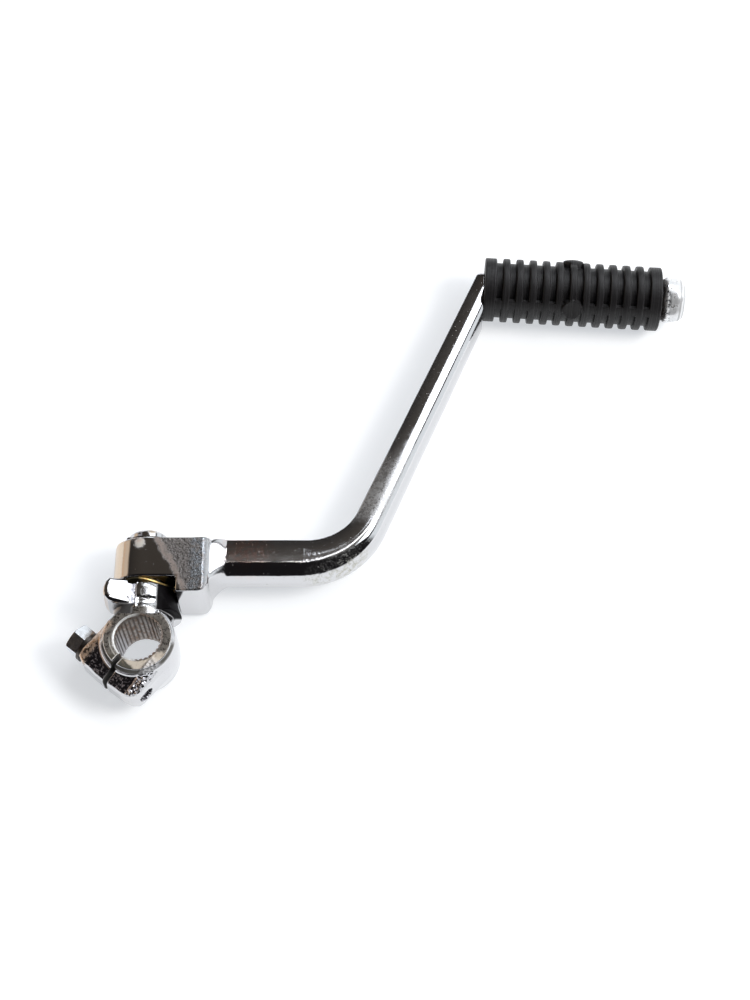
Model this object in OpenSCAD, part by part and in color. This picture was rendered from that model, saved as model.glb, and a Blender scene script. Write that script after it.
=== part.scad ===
// Folding kick start lever for a motorcycle.
// A split, splined clamp boss carries a round journal, and the arm swings on
// that journal.  It is drawn folded, as it lies on a table.
// Origin: centre of the splined bore, half way through the boss.
// +Z is the bore's axis, towards the outer face.  +Y is the swing axis, from
// the bore towards the arm's hub.  +X runs along the first stretch of the arm.

/* [Splined bore] */
// Radius at the tips of the bore's teeth
bore_r = 8.3; // [8.2:0.05:8.5]
// Depth of the grooves between the teeth
spline_depth = 0.5; // [0.3:0.05:0.55]
// Number of grooves
spline_count = 32; // [28:1:34]
// Width of one groove
spline_w = 0.95; // [0.7:0.05:1.0]

/* [Clamp boss] */
// Thickness of the boss over its two raised rings
boss_h = 24.4; // [24:0.1:25]
// Radius of the raised ring round the bore
ring_r = 12.4; // [12:0.1:12.8]
// Radius of the round body below the ring
barrel_r = 13.4; // [13:0.1:14]
// Height of each raised ring above the round body
ring_step = 0.9; // [0.6:0.1:1.4]
// Where the turned neck cuts the raised rings off, from the bore's centre
face_cut = 9.6; // [9.5:0.1:10.5]
// Direction of the slit, from +X
slit_dir = 231; // [225:1:237]
// Width of the slit
slit_w = 1.8; // [1.2:0.1:2.2]
// Distance from the bore's centre to the end of the ears
ear_len = 19.3; // [19:0.1:20]
// Distance from the slit's middle to the face under the bolt's head
seat_off = 15.2; // [14.5:0.1:16]
// Distance from the slit's middle to the face where the bolt comes out
exit_off = 13.8; // [13:0.1:15]

/* [Pinch bolt] */
// Distance from the bore's centre to the bolt's axis
bolt_off = 11.8; // [11.8:0.05:12.4]
// Radius of the bolt's shank
bolt_r = 2.85; // [2.7:0.05:2.9]
// Radial play of the bolt in its hole
bolt_play = 0.15; // [0.1:0.05:0.15]
// Width across the flats of the bolt's head
hex_af = 10.6; // [10:0.1:11]
// Height of the bolt's head
hex_h = 5.5; // [5:0.1:6]
// Thickness of the split lock washer
lock_t = 1.4; // [1.2:0.1:1.6]
// Outer radius of the split lock washer
lock_r = 5.9; // [5.5:0.1:6.2]

/* [Swivel] */
// Radius of the journal that the arm turns on
journal_r = 7.25; // [7:0.05:7.5]
// Radial running clearance of the arm on the journal
journal_play = 0.05; // [0.03:0.01:0.08]
// Radius of the thick part of the neck, which is also the distance to the stops
cam_r = 12; // [12:0.1:12.2]
// Radius of the waist between the boss and the thick part of the neck
waist_r = 11; // [10:0.1:11.5]
// Place along Y of the shoulder that faces the hub
shoulder_y = 23.2; // [23:0.1:23.3]
// Place along Y of the journal's end
journal_end = 45.2; // [45:0.1:46]
// Clearance between the arm's skirt and the stops
stop_gap = 0.3; // [0.3:0.05:0.5]

/* [Hub of the arm] */
// Radius of the hub
hub_r = 12; // [11.9:0.1:12.1]
// Place along Y of the hub's face towards the boss
hub_y0 = 24.2; // [24.2:0.05:24.4]
// Place along Y of the hub's far face
hub_y1 = 39.9; // [39.6:0.1:40.1]
// Place along Y of the skirt's edge
skirt_y = 18.2; // [17.9:0.1:18.6]
// Place along X where the head ends and the arm begins to taper
head_x1 = 22; // [21.5:0.1:22.5]

/* [Arm] */
// Half height of the arm at the head
arm_h0 = 9; // [8.8:0.1:9.4]
// Half height of the arm at the bend
arm_h1 = 8.6; // [8.2:0.1:9]
// Half height of the arm at the elbow
arm_h2 = 6.6; // [6.4:0.1:7]
// Direction of the second stretch of the arm, from +X
arm_dir = 66.8; // [66:0.1:67.5]
// Outer radius of the bend
bend_ro = 35; // [34:0.5:36]
// Inner radius of the bend
bend_ri = 21; // [18:0.5:23]
// How square the arm's near side is, where 2 is an ellipse
arm_sq = 2.1; // [2:0.1:3]

/* [Pedal] */
// Direction of the pedal, from +X
pedal_dir = -3.9; // [-4.2:0.1:-3.6]
// Radius of the pedal's spindle
spindle_r = 6.2; // [6:0.1:6.3]
// Radius of the button at the spindle's end
button_r = 8.9; // [8.6:0.1:9.2]
// Thickness of the button
button_t = 8.6; // [8:0.1:9]
// Bare length of spindle between the rubber and the button
button_gap = 1.2; // [0.5:0.1:1.6]

/* [Rubber] */
// Length of the rubber
grip_len = 71; // [70:0.1:72]
// Radius over the ribs
grip_r = 12.8; // [12.7:0.1:13]
// Depth of the grooves between the ribs
rib_depth = 1.8; // [1.4:0.1:2]
// Number of ribs between the two end bands
rib_count = 11; // [9:1:12]
// Width of one rib
rib_w = 2.9; // [2.6:0.1:3.2]
// Width of each end band
band_w = 4.7; // [4.2:0.1:5]
// Radius of the round pads at mid length
pad_r = 4.2; // [3.8:0.1:4.4]
// Height of the round pads above the ribs
pad_h = 0.8; // [0.5:0.1:1]

/* [Hidden] */
$fn = 96;
e = 0.01;
// swivel stack along Y
washer_y0 = hub_y1 + 0.3;
washer_t = 0.9;
clip_y0 = washer_y0 + washer_t + 0.1;
clip_t = 0.9;
clip_groove_r = journal_r - 0.75;
// detent
ball_r = 2.5;
detent_y = 32.6;
ball_x = journal_r + ball_r + 0.04;
ball_travel = 0.8;
well_r = 2.6;
well_x1 = 19.4;
spring_r = 1.95;
spring_wire = 0.3;
spring_turns = 5.5;
// arm outline: far side is at yf, near side at yn on the first stretch
yf = 41.2;
yn = 25.4;
u2 = [cos(arm_dir), sin(arm_dir)];
// a point on the far (left) edge and on the near (right) edge of the second stretch
lf = [95.9, 93.1];
rf = [109.4, 93.0];
// centre of the inner arc, tangent to both far edges
ci = [lf[0] - (bend_ri - (yf + bend_ri - lf[1]) * u2[0]) / u2[1], yf + bend_ri];
// centre of the outer arc, tangent to both near edges
co = [rf[0] - (bend_ro - (yn + bend_ro - rf[1]) * u2[0]) / u2[1], yn + bend_ro];
// the pedal's axis
grip_p = [129.7, 156.2];
up = [cos(pedal_dir), sin(pedal_dir)];
// where the second stretch's middle meets the pedal's axis
mf = (lf + rf) / 2;
elbow_k = ((grip_p[0] - mf[0]) * up[1] - (grip_p[1] - mf[1]) * up[0]) / (u2[0] * up[1] - u2[1] * up[0]);
elbow = mf + elbow_k * u2;

function lerp(a, b, t) = a + (b - a) * t;
function smooth(t) = t * t * (3 - 2 * t);

// ---- the arm's two edges as a row of rings: [far point, near point, half height]
n_s1 = 3;
n_bend = 18;
n_s2 = 8;
function edge_f(t) = [ci[0] + bend_ri * sin(arm_dir * t), ci[1] - bend_ri * cos(arm_dir * t)];
function edge_n(t) = [co[0] + bend_ro * sin(arm_dir * t), co[1] - bend_ro * cos(arm_dir * t)];
function arm_rings() = concat(
    [for (i = [0:n_s1 - 1]) let (t = i / n_s1)
        [[lerp(25, ci[0], t), yf], [lerp(25, co[0], t), yn], lerp(arm_h0, arm_h1, t)]],
    [for (i = [0:n_bend]) let (t = i / n_bend)
        [edge_f(t), edge_n(t), lerp(arm_h1, arm_h1 - 0.7, t)]],
    [for (i = [1:n_s2]) let (t = i / n_s2)
        [lerp(edge_f(1), elbow + (edge_gap() / 2 - 1.7) * [-u2[1], u2[0]], t),
         lerp(edge_n(1), elbow - (edge_gap() / 2) * [-u2[1], u2[0]], t),
         lerp(arm_h1 - 0.7, arm_h2, smooth(t))]],
    // rounded end past the elbow
    [for (q = [[1.7, 4.6, 0.98], [3.2, 4.1, 0.88], [4.3, 3.1, 0.7], [4.9, 1.8, 0.46]])
        [elbow + q[0] * u2 + q[1] * [-u2[1], u2[0]], elbow + q[0] * u2 - (q[1] + 1) * [-u2[1], u2[0]], arm_h2 * q[2]]]);
function edge_gap() = (rf - lf) * [u2[1], -u2[0]];

// one ring of the arm's section between its two edges: round on the near side, a low crown that ends
// in an almost flat wall on the far side
ring_n = 40;
far_crown = 1.5;
function se(c, p) = sign(c) * pow(abs(c), 2 / p);
function ring_pts(r) = let (c = (r[0] + r[1]) / 2, h = (r[0] - r[1]) / 2)
    [for (k = [0:ring_n - 1]) let (a = 360 * (k + 0.5) / ring_n, far = cos(a) > 0,
            w = far ? min(1, far_crown * cos(a)) * (1 - 0.03 * pow(sin(a), 2)) : se(cos(a), arm_sq), z = far ? sin(a) : se(sin(a), arm_sq))
        [c[0] + h[0] * w, c[1] + h[1] * w, -r[2] * z]];

// closed sweep through rings of m points
module sweep(rings, m) {
    n = len(rings);
    pts = [for (r = rings) for (p = r) p];
    side = [for (i = [0:n - 2]) for (k = [0:m - 1]) let (k2 = (k + 1) % m)
        for (f = [[i * m + k, i * m + k2, (i + 1) * m + k2], [i * m + k, (i + 1) * m + k2, (i + 1) * m + k]]) f];
    cap0 = [[for (k = [m - 1:-1:0]) k]];
    cap1 = [[for (k = [0:m - 1]) (n - 1) * m + k]];
    polyhedron(points = pts, faces = concat(side, cap0, cap1), convexity = 8);
}

// ---- frames
module along_y(y = 0) { translate([0, y, 0]) rotate([-90, 0, 0]) children(); }
module ear_frame() { rotate([0, 0, slit_dir]) children(); }
module bolt_frame() { ear_frame() translate([bolt_off, 0, 0]) rotate([-90, 0, 0]) children(); }
module pedal_frame() { translate([grip_p[0], grip_p[1], 0]) rotate([0, 0, pedal_dir]) rotate([0, 90, 0]) children(); }

// ---- clamp boss
module barrel() {
    z1 = boss_h / 2;
    z0 = z1 - ring_step;
    difference() {
        rotate_extrude() polygon([[0, -z1], [ring_r - 0.4, -z1], [ring_r, -z1 + 0.4], [ring_r, -z0 + 0.1],
            [barrel_r - 0.2, -z0 + 0.1], [barrel_r + 0.3, -z0 + 1.4], [barrel_r + 0.3, z0 - 1.4],
            [barrel_r - 0.2, z0 - 0.1], [ring_r, z0 - 0.1], [ring_r, z1 - 0.4], [ring_r - 0.4, z1], [0, z1]]);
        for (s = [0, 1]) mirror([0, 0, s]) translate([-20, face_cut, z0 - 0.15]) cube([40, 10, 3]);
    }
}

// the two ears and the squared side that the bolt's head sits on
module ears() {
    ear_frame() intersection() {
        // seen from above
        translate([0, 0, -20]) linear_extrude(40) polygon([
            [-8.5, -10.5], [-5.5, -13.6], [-1.5, -seat_off], [ear_len - 5, -seat_off],
            [ear_len - 2.2, -seat_off + 1.2], [ear_len - 0.7, -seat_off + 4],
            [ear_len, -5], [ear_len, 2], [ear_len - 0.6, exit_off - 6.2], [ear_len - 1.9, exit_off - 3],
            [ear_len - 3.8, exit_off - 1], [ear_len - 6, exit_off], [7, exit_off], [0, barrel_r], [-8, 8]]);
        // seen along the bolt
        rotate([90, 0, 0]) translate([0, 0, -20]) linear_extrude(40) polygon([
            [-12, 9.6], [3, 10.2], [9, 9.2], [ear_len - 1.4, 5.9], [ear_len - 0.4, 4.8], [ear_len, 2.6],
            [ear_len, -2.2], [ear_len - 0.5, -4.2], [ear_len - 1.8, -5.6], [9, -9.2], [3, -10.2], [-12, -9.6]]);
        // seen along the slit
        rotate([90, 0, 90]) translate([0, 0, -20]) linear_extrude(50) polygon([
            [-seat_off, -4.6], [-seat_off + 1.1, -7.2], [-seat_off + 4.2, -10.4], [exit_off - 3.4, -10.4],
            [exit_off - 1, -7.2], [exit_off, -4.2], [exit_off, 4.2], [exit_off - 1, 7.2], [exit_off - 3.4, 10.4],
            [-seat_off + 4.2, 10.4], [-seat_off + 1.1, 7.2], [-seat_off, 4.6]]);
    }
}

// waist, thick part with its two square stop corners, and the journal
module neck() {
    along_y(4) cylinder(r = waist_r, h = shoulder_y - 4);
    along_y(17.4) cylinder(r = cam_r, h = shoulder_y - 17.4);
    along_y(15.8) cylinder(r1 = waist_r, r2 = cam_r, h = 1.6 + e);
    // upper stop lug
    intersection() {
        translate([-14, 10, 0]) cube([14 - 2, shoulder_y - 10, cam_r]);
        translate([0, 0, -1]) linear_extrude(20) polygon([[-14, shoulder_y], [-14, 19.6], [-13.4, 17.9],
            [-12, 16.8], [-2, 14.3], [0, 14.3], [0, shoulder_y]]);
        along_y(10) translate([0, 0, 0]) linear_extrude(20) polygon([[0, 0], [0, -cam_r], [-12.4, -cam_r],
            [-13.5, -cam_r + 0.5], [-14, -cam_r + 1.6], [-14, -3], [-11, 0]]);
    }
    // lower stop lug
    translate([2, 16.6, -cam_r]) cube([cam_r - 2, shoulder_y - 16.6, cam_r]);
    along_y(shoulder_y - 1) cylinder(r = journal_r, h = journal_end - 1 - shoulder_y + 1);
    along_y(journal_end - 1) cylinder(r1 = journal_r, r2 = journal_r - 0.9, h = 1);
}

module spline_cut() {
    h = boss_h + 2;
    translate([0, 0, -h / 2]) linear_extrude(h) union() {
        circle(r = bore_r);
        for (i = [0:spline_count - 1]) rotate(slit_dir + 360 * i / spline_count)
            polygon([[bore_r - 1, -spline_w / 2], [bore_r - 1, spline_w / 2], [bore_r, spline_w / 2],
                [bore_r + spline_depth, spline_w / 4], [bore_r + spline_depth, -spline_w / 4], [bore_r, -spline_w / 2]]);
    }
    for (s = [0, 1]) mirror([0, 0, s]) translate([0, 0, boss_h / 2 - 0.45])
        cylinder(r1 = bore_r - 0.1, r2 = bore_r + 0.6, h = 0.7);
}

module clamp_boss() {
    color("silver") difference() {
        union() {
            barrel();
            ears();
            neck();
        }
        spline_cut();
        ear_frame() translate([0, -slit_w / 2, -20]) cube([40, slit_w, 40]);
        bolt_frame() translate([0, 0, -30]) cylinder(r = bolt_r + bolt_play, h = 60);
        // spot face under the lock washer and a countersink at the exit
        bolt_frame() translate([0, 0, -30]) cylinder(r = lock_r + 0.5, h = 30 - seat_off + 0.3);
        bolt_frame() translate([0, 0, exit_off - 0.6]) cylinder(r1 = bolt_r + bolt_play, r2 = bolt_r + 1, h = 0.6 + e);
        // circlip groove
        along_y(clip_y0 - 0.05) difference() {
            cylinder(r = journal_r + 1, h = clip_t + 0.1);
            translate([0, 0, -1]) cylinder(r = clip_groove_r, h = clip_t + 2.1);
        }
        // detent dimples, one for each end of the swing
        for (d = [[1, 0, 0], [0, 0, 1]])
            translate([0, detent_y, 0] + (ball_x - ball_travel) * d) sphere(r = ball_r + 0.06);
    }
}

// ---- arm
module head() {
    intersection() {
        // seen along the swing axis
        translate([0, skirt_y, 0]) rotate([90, 0, 0]) translate([0, 0, -(hub_y1 - skirt_y)]) linear_extrude(hub_y1 - skirt_y)
            union() {
                circle(r = hub_r);
                polygon([[0, -hub_r], [head_x1 - 0.8, -hub_r], [head_x1, -hub_r + 0.3], [24.4, -arm_h0 - 1.3],
                    [29.4, -arm_h0 + 0.2], [32, -arm_h0 + 1.8], [35, -arm_h0 + 4.5], [35, arm_h0 - 4.5], [32, arm_h0 - 1.8],
                    [29.4, arm_h0 - 0.2], [24.4, arm_h0 + 1.3], [head_x1, hub_r - 0.3], [head_x1 - 0.8, hub_r], [0, hub_r]]);
            }
        // seen from above
        translate([0, 0, -20]) linear_extrude(40) polygon([[-13, hub_y0], [-13, hub_y1 - 1.4], [-11.2, hub_y1],
            [head_x1 - 4, hub_y1], [head_x1 + 3, hub_y1 + 0.3], [29.4, yf - 0.7], [35, yf - 2.5], [35, yn + 3.2], [29.4, yn + 0.9],
            [27.6, yn - 0.5], [25.6, yn - 2.4],
            [24, skirt_y + 2.2], [22.4, skirt_y + 0.5], [20.6, skirt_y], [cam_r + stop_gap, skirt_y], [cam_r + stop_gap, hub_y0]]);
    }
}

module button() {
    // faceted round end of the spindle
    rotate_extrude() polygon([[0, 0], [spindle_r, 0], [button_r - 1.4, 0.6], [button_r - 0.2, 2.2], [button_r, 4.2],
        [button_r - 0.5, button_t - 1.4], [button_r - 1.7, button_t - 0.3], [button_r - 3.2, button_t],
        [button_r - 3.8, button_t - 0.4], [0, button_t - 0.4]]);
}

module kick_arm() {
    color("lightsteelblue") difference() {
        union() {
            head();
            difference() {
                sweep([for (r = arm_rings()) ring_pts(r)], ring_n);
                pedal_frame() cylinder(r = 30, h = 40);
            }
            pedal_frame() translate([0, 0, -0.8]) cylinder(r = spindle_r, h = grip_len + 2.8);
            pedal_frame() translate([0, 0, grip_len + button_gap]) button();
        }
        along_y(hub_y0 - 10) cylinder(r = journal_r + journal_play, h = 30);
        // mouth chamfers of the bearing
        along_y(hub_y0 - e) cylinder(r1 = journal_r + 0.6, r2 = journal_r + journal_play, h = 0.6);
        // blind well of the detent
        translate([0, detent_y, 0]) rotate([0, 90, 0]) cylinder(r = well_r, h = well_x1);
    }
}

// ---- rubber
module grip_rubber() {
    gap = (grip_len - 2 * band_w - rib_count * rib_w) / (rib_count + 1);
    r0 = grip_r - rib_depth;
    f = 0.5;
    prof = concat([[spindle_r, 0], [grip_r - f, 0], [grip_r, f], [grip_r, band_w - f], [grip_r - f, band_w], [r0, band_w]],
        [for (i = [0:rib_count - 1]) let (x = band_w + gap + i * (rib_w + gap))
            for (p = [[r0, x], [grip_r - f, x], [grip_r, x + f], [grip_r, x + rib_w - f], [grip_r - f, x + rib_w], [r0, x + rib_w]]) p],
        [[r0, grip_len - band_w], [grip_r - f, grip_len - band_w], [grip_r, grip_len - band_w + f],
            [grip_r, grip_len - f], [grip_r - f, grip_len], [spindle_r, grip_len]]);
    color("#1c1c1e") pedal_frame() difference() {
        union() {
            rotate_extrude() polygon(prof);
            // smooth bands along the length, front and back
            for (a = [61, 241]) rotate([0, 0, 180 + a - 9]) rotate_extrude(angle = 18)
                translate([r0 - 0.6, band_w - 0.3]) square([rib_depth + 0.5, grip_len - 2 * band_w + 0.6]);
            // round pads at mid length
            for (a = [61, -55, 183]) rotate([0, 0, 180 + a]) translate([0, 0, grip_len / 2]) rotate([0, 90, 0])
                cylinder(r = pad_r, h = grip_r + pad_h);
        }
        translate([0, 0, -1]) cylinder(r = spindle_r, h = grip_len + 2);
    }
}

// ---- fasteners and small parts
module pinch_bolt() {
    color("gainsboro") bolt_frame() {
        translate([0, 0, -seat_off + 0.3 - lock_t - 0.02]) cylinder(r = bolt_r, h = seat_off - 0.3 + lock_t + 0.02 + exit_off - 1.6);
        translate([0, 0, exit_off - 1.6]) cylinder(r1 = bolt_r, r2 = bolt_r - 0.7, h = 0.7);
        intersection() {
            translate([0, 0, -seat_off + 0.3 - lock_t - hex_h]) rotate([0, 0, 12]) cylinder(r = hex_af / 2 / cos(30), h = hex_h, $fn = 6);
            translate([0, 0, -seat_off + 0.3 - lock_t - hex_h]) cylinder(r1 = hex_af / 2 - 0.3, r2 = hex_af / 2 + 8, h = 8.3 * 1.6);
        }
    }
}

module lock_washer() {
    color("dimgray") bolt_frame() translate([0, 0, -seat_off + 0.3 - lock_t]) difference() {
        cylinder(r = lock_r, h = lock_t);
        translate([0, 0, -1]) cylinder(r = bolt_r + 0.25, h = lock_t + 2);
        rotate([0, 0, 40]) translate([0, -0.35, -1]) rotate([25, 0, 0]) cube([10, 0.7, lock_t + 4]);
    }
}

// a thin ring bent into three waves
module wave_washer() {
    ri = journal_r + 0.15;
    ro = 11.2;
    t = 0.3;
    amp = 0.14;
    m = 72;
    yc = shoulder_y + 0.33;
    color("goldenrod") sweep_ring([for (k = [0:m - 1]) let (a = 360 * k / m, w = amp * sin(3 * a))
        [[ri * cos(a), yc + w - t / 2, ri * sin(a)], [ro * cos(a), yc + w - t / 2, ro * sin(a)],
         [ro * cos(a), yc + w + t / 2, ro * sin(a)], [ri * cos(a), yc + w + t / 2, ri * sin(a)]]]);
}

// closed loop of square rings
module sweep_ring(rings) {
    n = len(rings);
    pts = [for (r = rings) for (p = r) p];
    polyhedron(points = pts, faces = [for (i = [0:n - 1]) let (j = (i + 1) % n) for (k = [0:3]) let (k2 = (k + 1) % 4)
        for (f = [[i * 4 + k, j * 4 + k2, i * 4 + k2], [i * 4 + k, j * 4 + k, j * 4 + k2]]) f], convexity = 6);
}

module retaining_washer() {
    color("gray") along_y(washer_y0) difference() {
        cylinder(r = 9.2, h = washer_t);
        translate([0, 0, -1]) cylinder(r = journal_r + 0.1, h = washer_t + 2);
    }
}

module circlip() {
    color("#4a4038") along_y(clip_y0) rotate([0, 0, 200]) linear_extrude(clip_t) difference() {
        union() {
            translate([-0.25, 0]) circle(r = journal_r + 1.05);
            for (s = [-1, 1]) rotate(s * 19) translate([journal_r + 0.6, 0]) circle(r = 1.45, $fn = 32);
        }
        circle(r = clip_groove_r + 0.02);
        polygon([[0, 0], [20, 20 * tan(12)], [20, -20 * tan(12)]]);
        for (s = [-1, 1]) rotate(s * 19) translate([journal_r + 0.7, 0]) circle(r = 0.6, $fn = 24);
    }
}

module detent_ball() {
    color("white") translate([ball_x, detent_y, 0]) sphere(r = ball_r);
}

module detent_spring() {
    x0 = ball_x + ball_r + 0.35;
    x1 = well_x1 - 0.35;
    m = 8;
    n = ceil(spring_turns * 14);
    color("slategray") sweep([for (i = [0:n]) let (t = i / n, a = 360 * spring_turns * t, x = lerp(x0, x1, t))
        [for (k = [0:m - 1]) let (b = 360 * k / m, r = spring_r + spring_wire * cos(b))
            [x + spring_wire * sin(b), detent_y + r * cos(a), r * sin(a)]]], m);
}

clamp_boss();
kick_arm();
grip_rubber();
pinch_bolt();
lock_washer();
wave_washer();
retaining_washer();
circlip();
detent_ball();
detent_spring();
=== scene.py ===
import math

import bpy
import numpy as np
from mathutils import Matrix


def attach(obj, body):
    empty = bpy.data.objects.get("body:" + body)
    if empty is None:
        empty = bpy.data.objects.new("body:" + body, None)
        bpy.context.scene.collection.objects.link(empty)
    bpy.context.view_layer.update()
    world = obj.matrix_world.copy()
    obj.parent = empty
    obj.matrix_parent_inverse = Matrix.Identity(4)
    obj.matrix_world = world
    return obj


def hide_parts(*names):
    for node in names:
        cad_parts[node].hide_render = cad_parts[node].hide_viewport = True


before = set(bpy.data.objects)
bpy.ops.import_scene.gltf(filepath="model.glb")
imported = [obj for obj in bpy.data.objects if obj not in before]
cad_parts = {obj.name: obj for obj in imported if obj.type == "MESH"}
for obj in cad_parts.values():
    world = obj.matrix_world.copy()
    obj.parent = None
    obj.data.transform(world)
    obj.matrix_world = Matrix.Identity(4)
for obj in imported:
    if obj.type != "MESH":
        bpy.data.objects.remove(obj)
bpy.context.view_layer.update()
scene = bpy.context.scene

# ------------------------------------------------------------------ camera
cam_data = bpy.data.cameras.new("camera")
cam = bpy.data.objects.new("camera", cam_data)
scene.collection.objects.link(cam)
cam.location = (0.08539, -0.21396, 0.56321)
cam.rotation_euler = (math.radians(26), 0, 0)
cam_data.sensor_width = 36
cam_data.lens = 59.04
cam_data.clip_start = 0.01
cam_data.clip_end = 20
scene.camera = cam

scene.view_settings.view_transform = "Standard"
scene.view_settings.look = "None"
scene.view_settings.exposure = 0.0
scene.view_settings.gamma = 1.0
scene.cycles.max_bounces = 10
scene.cycles.glossy_bounces = 6
scene.cycles.diffuse_bounces = 3
scene.cycles.sample_clamp_indirect = 12
scene.cycles.caustics_reflective = False
scene.cycles.caustics_refractive = False


# ------------------------------------------------------------------ node helpers
class Net:
    """A node tree with short calls that add nodes and return their output sockets."""

    def __init__(self, tree):
        self.t = tree
        tree.nodes.clear()

    def add(self, kind, **props):
        n = self.t.nodes.new(kind)
        for k, v in props.items():
            setattr(n, k, v)
        return n

    def put(self, socket, value):
        if isinstance(value, bpy.types.NodeSocket):
            self.t.links.new(value, socket)
        elif value is not None:
            socket.default_value = value

    def math(self, op, a, b=None, c=None, clamp=False):
        n = self.add("ShaderNodeMath", operation=op, use_clamp=clamp)
        self.put(n.inputs[0], a)
        self.put(n.inputs[1], b)
        self.put(n.inputs[2], c)
        return n.outputs[0]

    def vmath(self, op, a, b=None, out=0):
        n = self.add("ShaderNodeVectorMath", operation=op)
        self.put(n.inputs[0], a)
        self.put(n.inputs[1], b)
        return n.outputs[out]

    def step(self, x, a, b, lo=0.0, hi=1.0):
        """Smooth rise from lo at a to hi at b."""
        n = self.add("ShaderNodeMapRange", interpolation_type="SMOOTHSTEP", clamp=True)
        if a > b:
            a, b, lo, hi = b, a, hi, lo
        for i, v in enumerate((x, a, b, lo, hi)):
            self.put(n.inputs[i], v)
        return n.outputs[0]

    def mix(self, f, a, b, blend="MIX"):
        n = self.add("ShaderNodeMix", data_type="RGBA", blend_type=blend, clamp_factor=True)
        self.put(n.inputs[0], f)
        self.put(n.inputs[6], a)
        self.put(n.inputs[7], b)
        return n.outputs[2]

    def fmix(self, f, a, b):
        n = self.add("ShaderNodeMix", data_type="FLOAT", clamp_factor=True)
        self.put(n.inputs[0], f)
        self.put(n.inputs[2], a)
        self.put(n.inputs[3], b)
        return n.outputs[0]

    def noise(self, vec, scale, detail=3.0, rough=0.5, distort=0.0):
        n = self.add("ShaderNodeTexNoise", noise_dimensions="3D")
        self.put(n.inputs["Vector"], vec)
        self.put(n.inputs["Scale"], scale)
        self.put(n.inputs["Detail"], detail)
        self.put(n.inputs["Roughness"], rough)
        self.put(n.inputs["Distortion"], distort)
        return n.outputs["Fac"]

    def voronoi(self, vec, scale, feature="F1", rnd=1.0, out="Distance"):
        n = self.add("ShaderNodeTexVoronoi", feature=feature)
        self.put(n.inputs["Vector"], vec)
        self.put(n.inputs["Scale"], scale)
        self.put(n.inputs["Randomness"], rnd)
        return n.outputs[out]

    def sep(self, vec):
        n = self.add("ShaderNodeSeparateXYZ")
        self.put(n.inputs[0], vec)
        return n.outputs

    def comb(self, x, y, z):
        n = self.add("ShaderNodeCombineXYZ")
        self.put(n.inputs[0], x)
        self.put(n.inputs[1], y)
        self.put(n.inputs[2], z)
        return n.outputs[0]

    def bump(self, height, distance, strength=1.0, normal=None):
        n = self.add("ShaderNodeBump")
        self.put(n.inputs["Strength"], strength)
        self.put(n.inputs["Distance"], distance)
        self.put(n.inputs["Height"], height)
        self.put(n.inputs["Normal"], normal)
        return n.outputs[0]


# ------------------------------------------------------------------ world, by direction only
world = bpy.data.worlds.new("studio")
scene.world = world
world.use_nodes = True
w = Net(world.node_tree)
direction = w.add("ShaderNodeTexCoord").outputs["Generated"]
dx, dy, dz = w.sep(direction)[:3]
el = w.math("MULTIPLY", w.math("ARCSINE", dz), 57.29578)
az = w.math("MULTIPLY", w.math("ARCTAN2", dy, dx), 57.29578)


def patch(az0, az1, el0, el1, soft_a=4.0, soft_e=4.0):
    """1 inside a window of directions, given in degrees, with soft edges."""
    a = w.math("MULTIPLY", w.step(az, az0 - soft_a, az0 + soft_a), w.step(az, az1 + soft_a, az1 - soft_a))
    e = w.math("MULTIPLY", w.step(el, el0 - soft_e, el0 + soft_e), w.step(el, el1 + soft_e, el1 - soft_e))
    return w.math("MULTIPLY", a, e)


def spot(d, inner, outer):
    """1 near direction d, falling to 0 between two angles in degrees."""
    n = math.sqrt(sum(c * c for c in d))
    dot = w.vmath("DOT_PRODUCT", direction, tuple(c / n for c in d), out=1)
    return w.step(dot, math.cos(math.radians(outer)), math.cos(math.radians(inner)))


room = w.mix(w.step(el, 0, 70), (0.022, 0.020, 0.019, 1), (0.064, 0.054, 0.045, 1))
room = w.mix(w.step(dy, 0.02, -0.10), room, (0.012, 0.011, 0.012, 1))
room = w.mix(patch(142, 200, -5, 25, 10, 4), room, (0.80, 0.62, 0.46, 1))
room = w.mix(w.math("MULTIPLY", w.step(az, -150, -168), w.step(el, 36, 24)), room, (0.80, 0.62, 0.46, 1))
# pale wall on the right, below the window
room = w.mix(patch(-14, 78, -20, 31, 5, 1.2), room, (1.08, 1.13, 1.17, 1))
# the window on the right
room = w.mix(patch(-8, 88, 41, 62, 3, 1.2), room, (4.3, 4.45, 4.7, 1))
# a ceiling lamp
room = w.mix(spot((-0.040, -0.105, 0.99), 0.5, 1.0), room, (14, 13.5, 12.5, 1))
# a tube light along the ceiling, wider towards the window
flat = w.comb(w.math("DIVIDE", dx, w.math("MAXIMUM", dz, 0.05)), w.math("DIVIDE", dy, w.math("MAXIMUM", dz, 0.05)), 0.0)
A, B = np.array([-0.036, -0.105]), np.array([0.36, 0.38])
L = float(np.linalg.norm(B - A))
D = (B - A) / L
rel = w.vmath("SUBTRACT", flat, (float(A[0]), float(A[1]), 0))
along = w.math("DIVIDE", w.vmath("DOT_PRODUCT", rel, (float(D[0]), float(D[1]), 0), out=1), L)
side = w.math("ABSOLUTE", w.vmath("DOT_PRODUCT", rel, (-float(D[1]), float(D[0]), 0), out=1))
width = w.math("ADD", 0.008, w.math("MULTIPLY", along, 0.085))
tube = w.math("MULTIPLY", w.step(w.math("SUBTRACT", side, width), 0.012, 0.0), w.math("MULTIPLY", w.step(along, -0.02, 0.02), w.step(along, 1.02, 0.98)))
room = w.mix(w.math("MULTIPLY", tube, w.step(dz, 0.3, 0.5)), room, (3.4, 3.4, 3.5, 1))
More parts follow.
